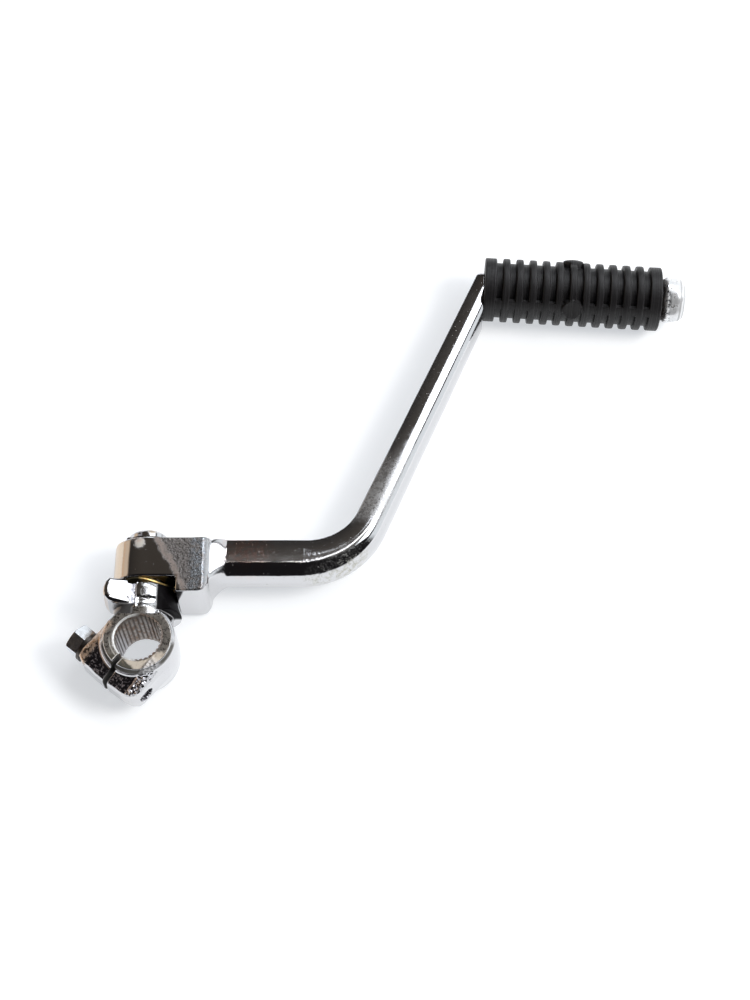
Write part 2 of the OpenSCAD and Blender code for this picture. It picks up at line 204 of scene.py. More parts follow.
# the far table top and its surround
room = w.mix(w.step(el, 1, -2), room, (0.85, 0.86, 0.88, 1))
bg = w.add("ShaderNodeBackground")
w.put(bg.inputs[0], room)
w.put(bg.inputs[1], 1.0)
w.put(w.add("ShaderNodeOutputWorld").inputs[0], bg.outputs[0])

# ------------------------------------------------------------------ floor
FLOOR_Z = -0.0131
bpy.ops.mesh.primitive_plane_add(size=6, location=(0.1, 0.1, FLOOR_Z))
floor = bpy.context.object
floor.name = "floor"
mat = bpy.data.materials.new("floor")
mat.use_nodes = True
m = Net(mat.node_tree)
bs = m.add("ShaderNodeBsdfPrincipled")
bs.inputs["Base Color"].default_value = (0.50, 0.50, 0.50, 1)
bs.inputs["Roughness"].default_value = 0.6
bs.inputs["Specular IOR Level"].default_value = 0.2
bs.inputs["Emission Color"].default_value = (0.93, 0.96, 1.0, 1)
bs.inputs["Emission Strength"].default_value = 0.64
m.put(m.add("ShaderNodeOutputMaterial").inputs[0], bs.outputs[0])
floor.data.materials.append(mat)


def light(name, loc, target, size, energy, colour):
    d = bpy.data.lights.new(name, "AREA")
    d.shape = "DISK"
    d.size = size
    d.energy = energy
    d.color = colour
    o = bpy.data.objects.new(name, d)
    scene.collection.objects.link(o)
    o.location = loc
    v = np.array(target, float) - np.array(loc, float)
    from mathutils import Vector
    o.rotation_euler = Vector(v).to_track_quat("-Z", "Y").to_euler()
    o.visible_glossy = False
    return o


light("key", (1.0, -0.10, 0.95), (0.1, 0.08, 0), 0.60, 15.0, (1.0, 0.985, 0.96))

# ------------------------------------------------------------------ signed distance toolkit, in millimetres
def poly(x, y, pts):
    """Signed distance to a closed outline."""
    v = np.asarray(pts, float)
    d = np.full(x.shape, 1e9)
    inside = np.zeros(x.shape, bool)
    for i in range(len(v)):
        a, b = v[i], v[i - 1]
        ex, ey = b - a
        wx, wy = x - a[0], y - a[1]
        t = np.clip((wx * ex + wy * ey) / (ex * ex + ey * ey), 0, 1)
        bx, by = wx - ex * t, wy - ey * t
        d = np.minimum(d, bx * bx + by * by)
        with np.errstate(divide="ignore", invalid="ignore"):
            cross = (a[1] > y) != (b[1] > y)
            hit = x < (b[0] - a[0]) * (y - a[1]) / (b[1] - a[1] if b[1] != a[1] else 1e-9) + a[0]
        inside ^= cross & hit
    return np.where(inside, -1, 1) * np.sqrt(d)


def smin(a, b, k):
    h = np.maximum(k - np.abs(a - b), 0) / k
    return np.minimum(a, b) - h * h * k * 0.25


def smax(a, b, k):
    return -smin(-a, -b, k)


def rmax(a, b, r):
    """Intersection with its edge rounded to radius r."""
    return np.minimum(np.maximum(a, b), -r) + np.hypot(np.maximum(a + r, 0), np.maximum(b + r, 0))


def rmin(a, b, r):
    """Union with its corner filled to radius r."""
    return -rmax(-a, -b, r)


def smooth(t):
    t = np.clip(t, 0, 1)
    return t * t * (3 - 2 * t)


def waves(p, seed, length, n=7):
    """Smooth, repeatable unevenness between about -1 and 1."""
    rng = np.random.RandomState(seed)
    out = np.zeros(len(p))
    for _ in range(n):
        k = rng.normal(size=3)
        k *= 2 * np.pi / (length * rng.uniform(0.7, 1.5)) / np.linalg.norm(k)
        out += np.sin(p @ k + rng.uniform(0, 6.28))
    return out / math.sqrt(n)


def chunked(f, p, size=40000):
    return np.concatenate([f(p[i:i + size]) for i in range(0, len(p), size)]) if len(p) else np.zeros(0)


def gradient(f, p, e=0.03):
    g = np.empty_like(p)
    for a in range(3):
        s = np.zeros(3)
        s[a] = e
        g[:, a] = (chunked(f, p + s) - chunked(f, p - s)) / (2 * e)
    return g


def surface(f, lo, hi, h, nb=8, slack=1.0, relax=2):
    """Quads on the zero surface of f, with the vertices moved onto it. Returns vertices, quads and normals."""
    lo, hi = np.array(lo, float), np.array(hi, float)
    n = np.ceil((hi - lo) / (h * nb)).astype(int)
    block = np.stack(np.meshgrid(*[np.arange(k) for k in n], indexing="ij"), -1).reshape(-1, 3)
    d = chunked(f, lo + (block + 0.5) * h * nb)
    block = block[np.abs(d) < h * nb * 0.87 + slack]
    g = np.arange(nb + 1)
    local = np.stack(np.meshgrid(g, g, g, indexing="ij"), -1).reshape(-1, 3)
    size = n * nb + 2
    edges12 = [((i, j, k), a) for a in range(3) for i in (0, 1) for j in (0, 1) for k in (0, 1) if (i, j, k)[a] == 0]
    keys, verts, quads = [], [], []
    for s in range(0, len(block), 60):
        b = block[s:s + 60]
        ijk = b[:, None, :] * nb + local[None]
        v = f(lo + ijk.reshape(-1, 3) * h).reshape(len(b), nb + 1, nb + 1, nb + 1)
        neg = v < 0
        count = sum(neg[:, i:nb + i, j:nb + j, k:nb + k].astype(np.int8) for i in (0, 1) for j in (0, 1) for k in (0, 1))
        bi, ci_, cj, ck = np.nonzero((count > 0) & (count < 8))
        total, hits = np.zeros((len(bi), 3)), np.zeros(len(bi))
        for (i, j, k), a in edges12:
            i2, j2, k2 = (i + (a == 0), j + (a == 1), k + (a == 2))
            va, vb = v[bi, ci_ + i, cj + j, ck + k], v[bi, ci_ + i2, cj + j2, ck + k2]
            ok = (va < 0) != (vb < 0)
            t = np.where(ok, va / np.where(ok, va - vb, 1), 0)
            pos = np.stack([i + (a == 0) * t, j + (a == 1) * t, k + (a == 2) * t], -1)
            total += pos * ok[:, None]
            hits += ok
        cell = b[bi] * nb + np.stack([ci_, cj, ck], -1)
        verts.append(lo + (cell + total / hits[:, None]) * h)
        keys.append((cell[:, 0] * size[1] + cell[:, 1]) * size[2] + cell[:, 2])
        for a in range(3):
            o1, o2 = (a + 1) % 3, (a + 2) % 3
            sl0 = [slice(None)] + [slice(0, nb)] * 3
            sl1 = list(sl0)
            sl1[a + 1] = slice(1, nb + 1)
            na, nbm = neg[tuple(sl0)], neg[tuple(sl1)]
            bi2, i2, j2, k2 = np.nonzero(na != nbm)
            c = b[bi2] * nb + np.stack([i2, j2, k2], -1)
            four = []
            for q1, q2 in ((0, 0), (1, 0), (1, 1), (0, 1)):
                cc = c.copy()
                cc[:, o1] -= q1
                cc[:, o2] -= q2
                four.append((cc[:, 0] * size[1] + cc[:, 1]) * size[2] + cc[:, 2])
            four = np.stack(four, -1)
            flip = ~na[bi2, i2, j2, k2]
            four[flip] = four[flip][:, ::-1]
            quads.append(four)
    keys, verts, quads = np.concatenate(keys), np.concatenate(verts), np.concatenate(quads)
    order = np.argsort(keys)
    keys, verts = keys[order], verts[order]
    at = np.clip(np.searchsorted(keys, quads), 0, len(keys) - 1)
    good = (keys[at] == quads).all(1)
    quads = at[good]
    used = np.zeros(len(verts), bool)
    used[quads.ravel()] = True
    remap = np.cumsum(used) - 1
    verts, quads = verts[used], remap[quads]

    def onto(p, steps):
        for _ in range(steps):
            d, gr = chunked(f, p), gradient(f, p)
            g2 = np.maximum((gr * gr).sum(1), 0.1)
            p = p - np.clip(d / g2, -h, h)[:, None] * gr
        return p

    verts = onto(verts, 2)
    nxt = np.roll(quads, -1, 1)
    for _ in range(relax):
        acc, cnt = np.zeros_like(verts), np.zeros(len(verts))
        for c in range(4):
            for s_, t_ in ((quads[:, c], nxt[:, c]), (nxt[:, c], quads[:, c])):
                for ax in range(3):
                    acc[:, ax] += np.bincount(s_, verts[t_, ax], len(verts))
                cnt += np.bincount(s_, minlength=len(verts))
        mean = acc / cnt[:, None]
        gr = gradient(f, verts)
        gr /= np.linalg.norm(gr, axis=1)[:, None] + 1e-9
        step = mean - verts
        step -= (step * gr).sum(1)[:, None] * gr
        verts = onto(verts + 0.55 * step, 1)
    gr = gradient(f, verts, 0.02)
    gr /= np.linalg.norm(gr, axis=1)[:, None] + 1e-9
    return verts, quads, gr


def make(name, verts, faces, normals=None, sharp=None):
    """A mesh object from millimetre points."""
    me = bpy.data.meshes.new(name)
    verts = np.asarray(verts, float) * 0.001
    me.vertices.add(len(verts))
    me.vertices.foreach_set("co", verts.astype(np.float32).ravel())
    if isinstance(faces, np.ndarray):
        count = np.full(len(faces), faces.shape[1])
        flat = faces.ravel()
    else:
        count = np.array([len(f) for f in faces])
        flat = np.array([i for f in faces for i in f])
    me.loops.add(len(flat))
    me.loops.foreach_set("vertex_index", flat.astype(np.int32))
    me.polygons.add(len(count))
    me.polygons.foreach_set("loop_start", np.concatenate([[0], np.cumsum(count)[:-1]]).astype(np.int32))
    me.update(calc_edges=True)
    me.polygons.foreach_set("use_smooth", np.ones(len(count), bool))
    if sharp is not None:
        me.set_sharp_from_angle(angle=math.radians(sharp))
    me.validate()
    if normals is not None:
        me.normals_split_custom_set_from_vertices(np.asarray(normals, np.float32).tolist())
    ob = bpy.data.objects.new(name, me)
    scene.collection.objects.link(ob)
    return ob


def join(parts):
    """One list of points, faces and normals from several."""
    v, f, n, base = [], [], [], 0
    for pv, pf, pn in parts:
        v.append(pv)
        n.append(pn)
        f += [tuple(int(i) + base for i in q) for q in pf]
        base += len(pv)
    return np.concatenate(v), f, np.concatenate(n)


# ------------------------------------------------------------------ the lever's own dimensions, as in the CAD
BORE_R, SPLINE_D, SPLINES, SPLINE_W = 8.3, 0.50, 32, 0.95
BOSS_H, RING_R, BARREL_R, RING_STEP = 24.4, 12.4, 13.4, 0.9
SLIT = math.radians(231)
SLIT_W, EAR, SEAT, EXIT = 1.8, 19.3, 15.2, 13.8
BOLT_OFF, BOLT_R, PLAY, HEX_AF, HEX_H, LOCK_T, LOCK_R = 11.8, 2.85, 0.15, 10.6, 5.5, 1.4, 5.9
JR, JPLAY, CAM_R, WAIST_R, SHOULDER, J_END = 7.25, 0.05, 12.0, 11.0, 23.2, 45.2
HUB_R, HUB0, HUB1, SKIRT_Y, HEAD_X1 = 12.0, 24.2, 39.9, 18.2, 22.0
SEAT_Y = 22.0  # where the wave washer sits, behind the stop lugs' rims
FACE_CUT = 9.4  # where the turned neck cuts the ring off
ARM = math.radians(66.8)
RO, RI, YF, YN = 35.0, 21.0, 41.2, 25.4
LF, RF = np.array([95.9, 93.1]), np.array([109.4, 93.0])
U2 = np.array([math.cos(ARM), math.sin(ARM)])
N2 = np.array([math.sin(ARM), -math.cos(ARM)])
CI = np.array([LF[0] - (RI - (YF + RI - LF[1]) * U2[0]) / U2[1], YF + RI])
CO = np.array([RF[0] - (RO - (YN + RO - RF[1]) * U2[0]) / U2[1], YN + RO])
PED = math.radians(-3.9)
GP = np.array([129.7, 156.2])
UP = np.array([math.cos(PED), math.sin(PED)])
NP = np.array([-math.sin(PED), math.cos(PED)])
GRIP_L, GRIP_R, RIB_D, RIBS, RIB_W, BAND_W, PAD_R, PAD_H = 71.0, 12.8, 1.8, 11, 2.9, 4.7, 4.2, 0.8
SPIN_R, BUT_R, BUT_T, BUT_GAP = 6.2, 8.9, 8.6, 1.2
mf = (LF + RF) / 2
ek = ((GP[0] - mf[0]) * UP[1] - (GP[1] - mf[1]) * UP[0]) / (U2[0] * UP[1] - U2[1] * UP[0])
ELBOW = mf + ek * U2
END_I = CI + RI * N2
S2_LEN = float((ELBOW - END_I) @ U2)
WASH0 = HUB1 + 0.3
CLIP0 = WASH0 + 1.0


# ------------------------------------------------------------------ arm
HEAD_XZ = [[0, -HUB_R], [HEAD_X1 + 0.1, -HUB_R], [HEAD_X1 + 0.9, -HUB_R + 0.4], [24.5, -10.2],
           [24.5, 10.2], [HEAD_X1 + 0.9, HUB_R - 0.4], [HEAD_X1 + 0.1, HUB_R], [0, HUB_R]]
HEAD_XY = [[-13, HUB0], [-13, HUB1 - 1.4], [-11.2, HUB1], [HEAD_X1 - 4, HUB1], [24.5, HUB1 + 0.3],
           [24.5, YN - 3.6], [23.8, SKIRT_Y + 2.0], [22.4, SKIRT_Y + 0.5],
           [20.6, SKIRT_Y], [CAM_R + 0.3, SKIRT_Y], [CAM_R + 0.3, HUB0]]


def head_d(p):
    x, y, z = p.T
    prof = np.minimum(np.hypot(x, z) - HUB_R, poly(x, z, HEAD_XZ))
    return rmax(prof, poly(x, y, HEAD_XY), 0.9)


def bar_d(p):
    x, y, z = p.T
    q = p[:, :2] - CI
    al = q @ U2
    inset = 1.7 * np.clip(al / S2_LEN, 0, 1)
    # the stretch by the head widens into it
    t = np.clip((30.2 - x) / 5.8, 0, 1) ** 1.3
    df = np.where(q[:, 0] < 0, YF - 0.8 * t - y, np.where(al > 0, q @ N2 - RI - inset, np.hypot(q[:, 0], q[:, 1]) - RI))
    q = p[:, :2] - CO
    al2 = q @ U2
    dn = np.where(q[:, 0] < 0, y - YN + 3.3 * t * t, np.where(al2 > 0, RO - q @ N2, RO - np.hypot(q[:, 0], q[:, 1])))
    c = (CI + CO) / 2
    q = p[:, :2] - c
    phi = np.clip(np.arctan2(q[:, 0], -q[:, 1]), 0, ARM)
    s = np.where(q[:, 0] < 0, q[:, 0], np.where(q @ U2 > 0, 28 * ARM + q @ U2, 28 * phi))
    s1 = c[0] - 25
    hh = np.where(s < 0, 8.7 + 0.1 * smooth((s + s1) / s1),
                  np.where(s < 28 * ARM, 8.8 - 0.7 * s / (28 * ARM), 8.1 - 1.4 * smooth((s - 28 * ARM) / S2_LEN)))
    hh = hh + 1.5 * t
    W = np.maximum((df + dn) / 2, 0.5)
    lat = (dn - df) / 2
    # oval on the near side, a low crown that ends in a flat wall on the far side
    far = lat > 0
    e = np.where(far, 2.0, 2.1) + 4 * t
    half = np.where(far, 1.5 - 0.5 * t, 1.0) * W
    a, b = np.abs(lat) / half, np.abs(z) / hh
    F = np.maximum((a ** e + b ** e) ** (1 / e), 1e-3)
    g = np.sqrt(((a / F) ** (e - 1) / half) ** 2 + ((b / F) ** (e - 1) / hh) ** 2)
    d = (F - 1) / np.maximum(g, 1e-3)
    d = rmax(d, -df, 0.5)
    d = np.maximum(d, 24 - x)
    end = (p[:, :2] - ELBOW) @ U2 - 4.9
    d = rmax(d, end, 3.4)
    side = (p[:, :2] - GP) @ UP
    return np.maximum(d, side)


def pedal(p):
    """Along the pedal's axis, across it and up."""
    q = p[:, :2] - GP
    return q @ UP, q @ NP, p[:, 2]


def button_d(p):
    s, t, z = pedal(p)
    s = s - GRIP_L - BUT_GAP
    r = np.hypot(t, z)
    lump = 0.20 * waves(p, 5, 9.0) + 0.07 * waves(p, 6, 3.4, 9)
    prof = poly(r, s, [[-1, -0.9], [SPIN_R, -0.9], [SPIN_R + 0.6, -0.2], [BUT_R - 0.8, 0.4], [BUT_R + 0.1, 1.5], [BUT_R - 0.1, 3.4],
                       [BUT_R - 0.4, 5.4], [BUT_R - 0.9, 7.2], [BUT_R - 2.0, BUT_T - 0.3], [BUT_R - 3.4, BUT_T], [-1, BUT_T + 0.05]])
    return prof - 0.25 - lump


DETENT_Y = 32.6


def arm_d(p):
    x = p[:, 0]
    d = bar_d(p)
    d = d + 0.03 * waves(p, 11, 18)
    near = x < 45
    if near.any():
        q = p[near]
        d[near] = smin(d[near], head_d(q) + 0.02 * waves(q, 12, 12), 0.6)
        r = np.hypot(q[:, 0], q[:, 2])
        d[near] = rmax(d[near], JR + JPLAY - r, 0.25)
        # blind well of the detent
        r = np.hypot(q[:, 1] - DETENT_Y, q[:, 2])
        d[near] = np.maximum(d[near], -np.maximum(r - 2.7, np.maximum(-q[:, 0], q[:, 0] - 19.5)))
    far = x > 120
    if far.any():
        q = p[far]
        s, t, z = pedal(q)
        r = np.hypot(t, z)
        spin = np.maximum(r - SPIN_R, np.maximum(-0.8 - s, s - GRIP_L - 2))
        d[far] = np.minimum(d[far], spin)
        tip = s > 60
        if tip.any():
            idx = np.nonzero(far)[0][tip]
            d[idx] = smin(d[idx], button_d(q[tip]), 0.8)
    return d


hA = 0.52
v, f, n = surface(arm_d, (-14, 16, -14), (213, 172, 14), hA, slack=2.0)
arm = make("kick_arm_forging", v, f, n)
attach(arm, "arm")
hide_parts("kick_arm")
print("arm", len(v), len(f))

# ------------------------------------------------------------------ boss
EU = np.array([math.cos(SLIT), math.sin(SLIT)])
EV = np.array([-math.sin(SLIT), math.cos(SLIT)])
EAR_TOP = [[-8.5, -10.5], [-5.5, -13.6], [-1.5, -SEAT], [EAR - 5, -SEAT], [EAR - 2.2, -SEAT + 1.2], [EAR - 0.7, -SEAT + 4],
           [EAR, -5], [EAR, 2], [EAR - 0.6, EXIT - 6.2], [EAR - 1.9, EXIT - 3], [EAR - 3.8, EXIT - 1], [EAR - 6, EXIT],
           [7, EXIT], [0, BARREL_R], [-8, 8]]
EAR_SIDE = [[-12, 9.6], [3, 10.2], [9, 9.2], [EAR - 1.4, 5.9], [EAR - 0.4, 4.8], [EAR, 2.6], [EAR, -2.2], [EAR - 0.5, -4.2],
            [EAR - 1.8, -5.6], [9, -9.2], [3, -10.2], [-12, -9.6]]
EAR_END = [[-SEAT, -4.6], [-SEAT + 1.1, -7.2], [-SEAT + 4.2, -10.4], [EXIT - 3.4, -10.4], [EXIT - 1, -7.2], [EXIT, -4.2],
           [EXIT, 4.2], [EXIT - 1, 7.2], [EXIT - 3.4, 10.4], [-SEAT + 4.2, 10.4], [-SEAT + 1.1, 7.2], [-SEAT, 4.6]]
LUG_END = HUB0 - 0.15
LUG_XY = [[-12.0, LUG_END], [-13.2, 22.4], [-13.9, 20.2], [-14.0, 18.4], [-13.5, 16.6], [-12.0, 15.0], [-10, 14.2], [-2, 12.9], [0, 12.9],
          [0, LUG_END]]
LINER_R = BORE_R + 0.74


def boss_d(p):
    x, y, z = p.T
    r = np.hypot(x, y)
    ring = rmax(r - RING_R, np.abs(z) - BOSS_H / 2, 0.45)
    ring = rmax(ring, y - FACE_CUT, 0.15)
    ry = np.hypot(x, z)
    body = rmax(r - BARREL_R - 0.3 + 0.0035 * z * z, np.abs(z) - (BOSS_H / 2 - RING_STEP), 1.1)
    body = rmax(body, -np.maximum(np.maximum(FACE_CUT - y, x - 7.2), 11.45 - ry), 0.3)
    u, vv = p[:, :2] @ EU, p[:, :2] @ EV
    ears = rmax(rmax(poly(u, vv, EAR_TOP), poly(u, z, EAR_SIDE), 1.0), poly(vv, z, EAR_END), 1.0)
    ears += 0.06 * waves(p, 21, 7)
    d = smin(body, ears, 1.6)
    # neck
    waist = np.maximum(ry - WAIST_R - 0.1, np.maximum(4 - y, y - SEAT_Y))
    flare = np.maximum(rmax(ry - 11.4 - 0.42 * np.clip(19 - y, 0, 7), 12.2 - y, 0.5), np.maximum(6.5 - x, z - 9))
    edge = SEAT_Y - 0.2
    cam_ = rmax(rmax(ry - WAIST_R - 0.3, np.maximum(16.8 - y, y - edge), 0.4), (ry - WAIST_R + 0.5 + (y - edge)) * 0.72, 0.4)
    neck = smin(smin(waist, cam_, 1.8), np.maximum(flare, y - 20), 1.0)
    top = CAM_R - 0.05 - 0.225 * (x + 12.3)
    neck = np.where(x < -0.5, rmax(neck, np.minimum((z - top) * 0.975, -1.9 - x), 0.2), neck)
    ridge = rmax(np.abs(x + 1.15) - 0.75, (z - 11.55 + 0.42 * (x + 1.9)) * 0.92, 0.3)
    ridge = np.maximum(ridge, np.maximum(12.5 - y, y - edge))
    side = poly(x, y, LUG_XY) - 0.09 * np.clip(10 - z, 0, 8)
    lug = rmax(rmax(side, (z - top) * 0.975, 1.7), np.maximum(-z - 1, x + 1.6), 0.3)
    lug = np.maximum(lug, y - LUG_END)
    low = rmax(np.maximum(np.maximum(2 - x, x - CAM_R), np.maximum(16.6 - y, y - SHOULDER)), np.maximum(-CAM_R - z, z), 0.7)
    neck = np.minimum(neck, lug + 0.02 * waves(p, 22, 8))
    neck = smin(neck, np.maximum(ridge, 6 - z), 0.3)
    neck = smin(neck, low, 1.0)
    d = smin(d, neck, 1.6)
    d = np.maximum(d, np.minimum(y - SEAT_Y, 11.35 - ry))
    d = rmin(d, ring, 0.25)
    d += 0.02 * waves(p, 23, 11)
    # journal
    cone = np.maximum(y - J_END, (ry - JR + 0.9 + (y - J_END) * 0.9) * 0.74)
    jour = np.maximum(np.maximum(ry - JR, SEAT_Y - 1 - y), rmax(y - J_END, cone, 0.2))
    # dimples of the detent, one for each end of the swing
    for cx, cz in ((8.99, 0), (0, 8.99)):
        jour = np.maximum(jour, 2.64 - np.sqrt((x - cx) ** 2 + (y - DETENT_Y) ** 2 + (z - cz) ** 2))
    d = np.minimum(d, jour)
    # bore, slit, bolt hole
    d = rmax(d, LINER_R - 0.02 - r, 0.12)
    d = rmax(d, -np.maximum(np.abs(vv) - SLIT_W / 2, -u), 0.3)
    rb = np.hypot(u - BOLT_OFF, z)
    d = np.maximum(d, BOLT_R + PLAY - rb)
    d = rmax(d, -np.maximum(rb - LOCK_R - 0.5, vv + SEAT - 0.3), 0.3)
    d = np.maximum(d, -np.maximum(rb - BOLT_R - PLAY - (vv - EXIT + 0.6) * 0.4, EXIT - 0.6 - vv))
    return d


hB = 0.42
v, f, n = surface(boss_d, (-26.5, -24, -13), (14.5, 46.5, 13), hB)
print("boss", len(v), len(f))


def liner():
    """The splined sleeve of the bore, as rows of points up the bore, open at the slit."""
    half = 0.5 * SLIT_W / BORE_R
    pitch = 2 * math.pi / SPLINES
    angs, rads = [], []
    wt, wb = SPLINE_W / 2 / BORE_R, SPLINE_W / 4 / (BORE_R + SPLINE_D)
    e1 = 0.012
    for i in range(SPLINES):
        c = SLIT + i * pitch
        prof = [(-pitch / 2, BORE_R), (-pitch / 4 - wt / 2, BORE_R), (-wt - e1, BORE_R), (-wt + e1, BORE_R + 0.10), (-(wt + wb) / 2, BORE_R + SPLINE_D / 2),
                (-wb - e1 / 2, BORE_R + SPLINE_D - 0.07), (-wb + e1, BORE_R + SPLINE_D), (0, BORE_R + SPLINE_D)]
        prof = prof + [(-a, rr) for a, rr in prof[-2:0:-1]]
        if i == 0:
            continue
        for a, rr in prof:
            angs.append(c + a)
            rads.append(rr)
    # ends at the slit
    a0 = SLIT + half
    a1 = SLIT + 2 * math.pi - half
    first = [(a0, BORE_R), (SLIT + pitch / 2 - 0.02, BORE_R)]
    last = [(SLIT + 2 * math.pi - pitch / 2, BORE_R), (a1, BORE_R)]
    pts = first + list(zip(angs, rads)) + last
    A = np.array([a for a, _ in pts])
    R = np.array([rr for _, rr in pts])
    H = BOSS_H / 2
    rows = []
    zs = [-H, -H + 0.2, -H + 0.42, -H + 0.7, -10, -8, -4, 0, 4, 8, H - 0.7, H - 0.52, H - 0.42, H - 0.2, H]
    # the upper edge is bevelled on the side away from the window and nearly sharp elsewhere
    left = smooth((np.cos(A - math.radians(165)) + 0.05) / 0.4)
    rim = BORE_R + 0.10 + 0.56 * left
    for z in zs:
        worn = BORE_R + (R - BORE_R) * (0.35 + 0.65 * float(smooth((z + H) / 4.0))) * (1 - 0.65 * left * float(smooth((z - H + 2.5) / 1.5)))
        cone = rim - (H - z) * 1.05 if z > 0 else LINER_R - 0.1 - (H + z) * 1.05
        rr = np.maximum(worn, cone)
        rows.append(np.stack([rr * np.cos(A), rr * np.sin(A), np.full(len(A), z)], -1))
    rows = np.array(rows)
    m_, k_ = rows.shape[:2]
    V = rows.reshape(-1, 3)
    F = [(i * k_ + j, (i + 1) * k_ + j, (i + 1) * k_ + j + 1, i * k_ + j + 1) for i in range(m_ - 1) for j in range(k_ - 1)]
    # closing walls: outside surface, the two slit faces and both ends
    out = np.stack([(LINER_R + 0.12) * np.cos(A), (LINER_R + 0.12) * np.sin(A)], -1)
    base = len(V)
    zb = H - 0.05
    V = np.concatenate([V, np.c_[out, np.full(len(A), -zb)], np.c_[out, np.full(len(A), zb)]])
    F += [(base + j, base + j + 1, base + k_ + j + 1, base + k_ + j) for j in range(k_ - 1)]
    top0 = (m_ - 1) * k_
    F += [(top0 + j, base + k_ + j, base + k_ + j + 1, top0 + j + 1) for j in range(k_ - 1)]
    F += [(j, j + 1, base + j + 1, base + j) for j in range(k_ - 1)]
    F.append(tuple([i * k_ for i in range(m_)][::-1] + [base, base + k_])[::-1])
    F.append(tuple([i * k_ + k_ - 1 for i in range(m_)] + [base + k_ + k_ - 1, base + k_ - 1])[::-1])
    return V, F


boss = make("boss_forging", v, f, n)
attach(boss, "boss")
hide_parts("clamp_boss")
LV, LFc = liner()
lin = make("boss_splines", LV, LFc, sharp=35)
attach(lin, "boss")

# ------------------------------------------------------------------ pinch bolt
def bolt_d(p):
    u, v, z = p[:, :2] @ EU - BOLT_OFF, p[:, :2] @ EV, p[:, 2]
    r = np.hypot(u, z)
    v1 = -SEAT + 0.3 - LOCK_T
    v0 = v1 - HEX_H
    ang = np.arctan2(-u, z) - math.radians(2)
    k = np.round(ang / (math.pi / 3) - 0.5) + 0.5
    hexa = r * np.cos(ang - k * math.pi / 3) - HEX_AF / 2
    d = rmax(rmax(hexa, np.maximum(v0 - v, v - v1), 0.22), (r - HEX_AF / 2 - 0.15 - (v - v0) * 1.7) * 0.51, 0.15)
    d = np.maximum(d, (r - HEX_AF / 2 - 0.5 - (v1 - v) * 2.2) * 0.41)
    # stamped dish in the head and the threaded shank
    d = smax(d, -(np.hypot(r, (v - v0 + 3.4)) - 4.1), 0.3)
    turn = (v / 1.0 + np.arctan2(z, u) / (2 * math.pi)) % 1.0
    groove = 0.30 * (1 - np.abs(2 * turn - 1)) * smooth((v + 1.0) / 1.5)
    end = EXIT - 1.6
    shank = np.maximum(rmax(r - BOLT_R + groove * 0.9, v - end, 0.1), (r - BOLT_R + (v - end + 0.8)) * 0.7)
    shank = np.maximum(shank, v1 - 0.5 - v)
    return np.minimum(d, shank) + 0.012 * waves(p, 31, 3)


v, f, n = surface(bolt_d, (-29, -19, -7), (5, 8, 7), 0.3, slack=0.4)
bolt = make("pinch_bolt_body", v, f, n)
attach(bolt, "boss")
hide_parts("pinch_bolt")
print("bolt", len(v), len(f))

# ------------------------------------------------------------------ wave washer
def wave_washer():
    ri, ro, t, m_ = JR + 0.15, 11.2, 0.42, 180
    a = np.arange(m_) * 2 * math.pi / m_
    yc = (SEAT_Y + HUB0) / 2 + 0.72 * np.sin(3 * a + 2.2)
    prof = [(ri, -t), (ri + 0.12, -t - 0.02), (ro - 0.15, -t - 0.02), (ro, -t + 0.14), (ro, t - 0.14), (ro - 0.15, t), (ri + 0.1, t), (ri, t - 0.1)]
    V = np.concatenate([np.stack([rr * np.cos(a), yc + dy * 0.75, rr * np.sin(a)], -1) for rr, dy in prof])
    idx = np.arange(len(prof) * m_).reshape(len(prof), m_)
    nx = np.roll(idx, -1, 0)
    F = np.stack([idx, nx, np.roll(nx, -1, 1), np.roll(idx, -1, 1)], -1).reshape(-1, 4)
    return V, F


WV, WF = wave_washer()
wav = make("wave_washer_spring", WV, WF, sharp=35)
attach(wav, "boss")
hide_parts("wave_washer")

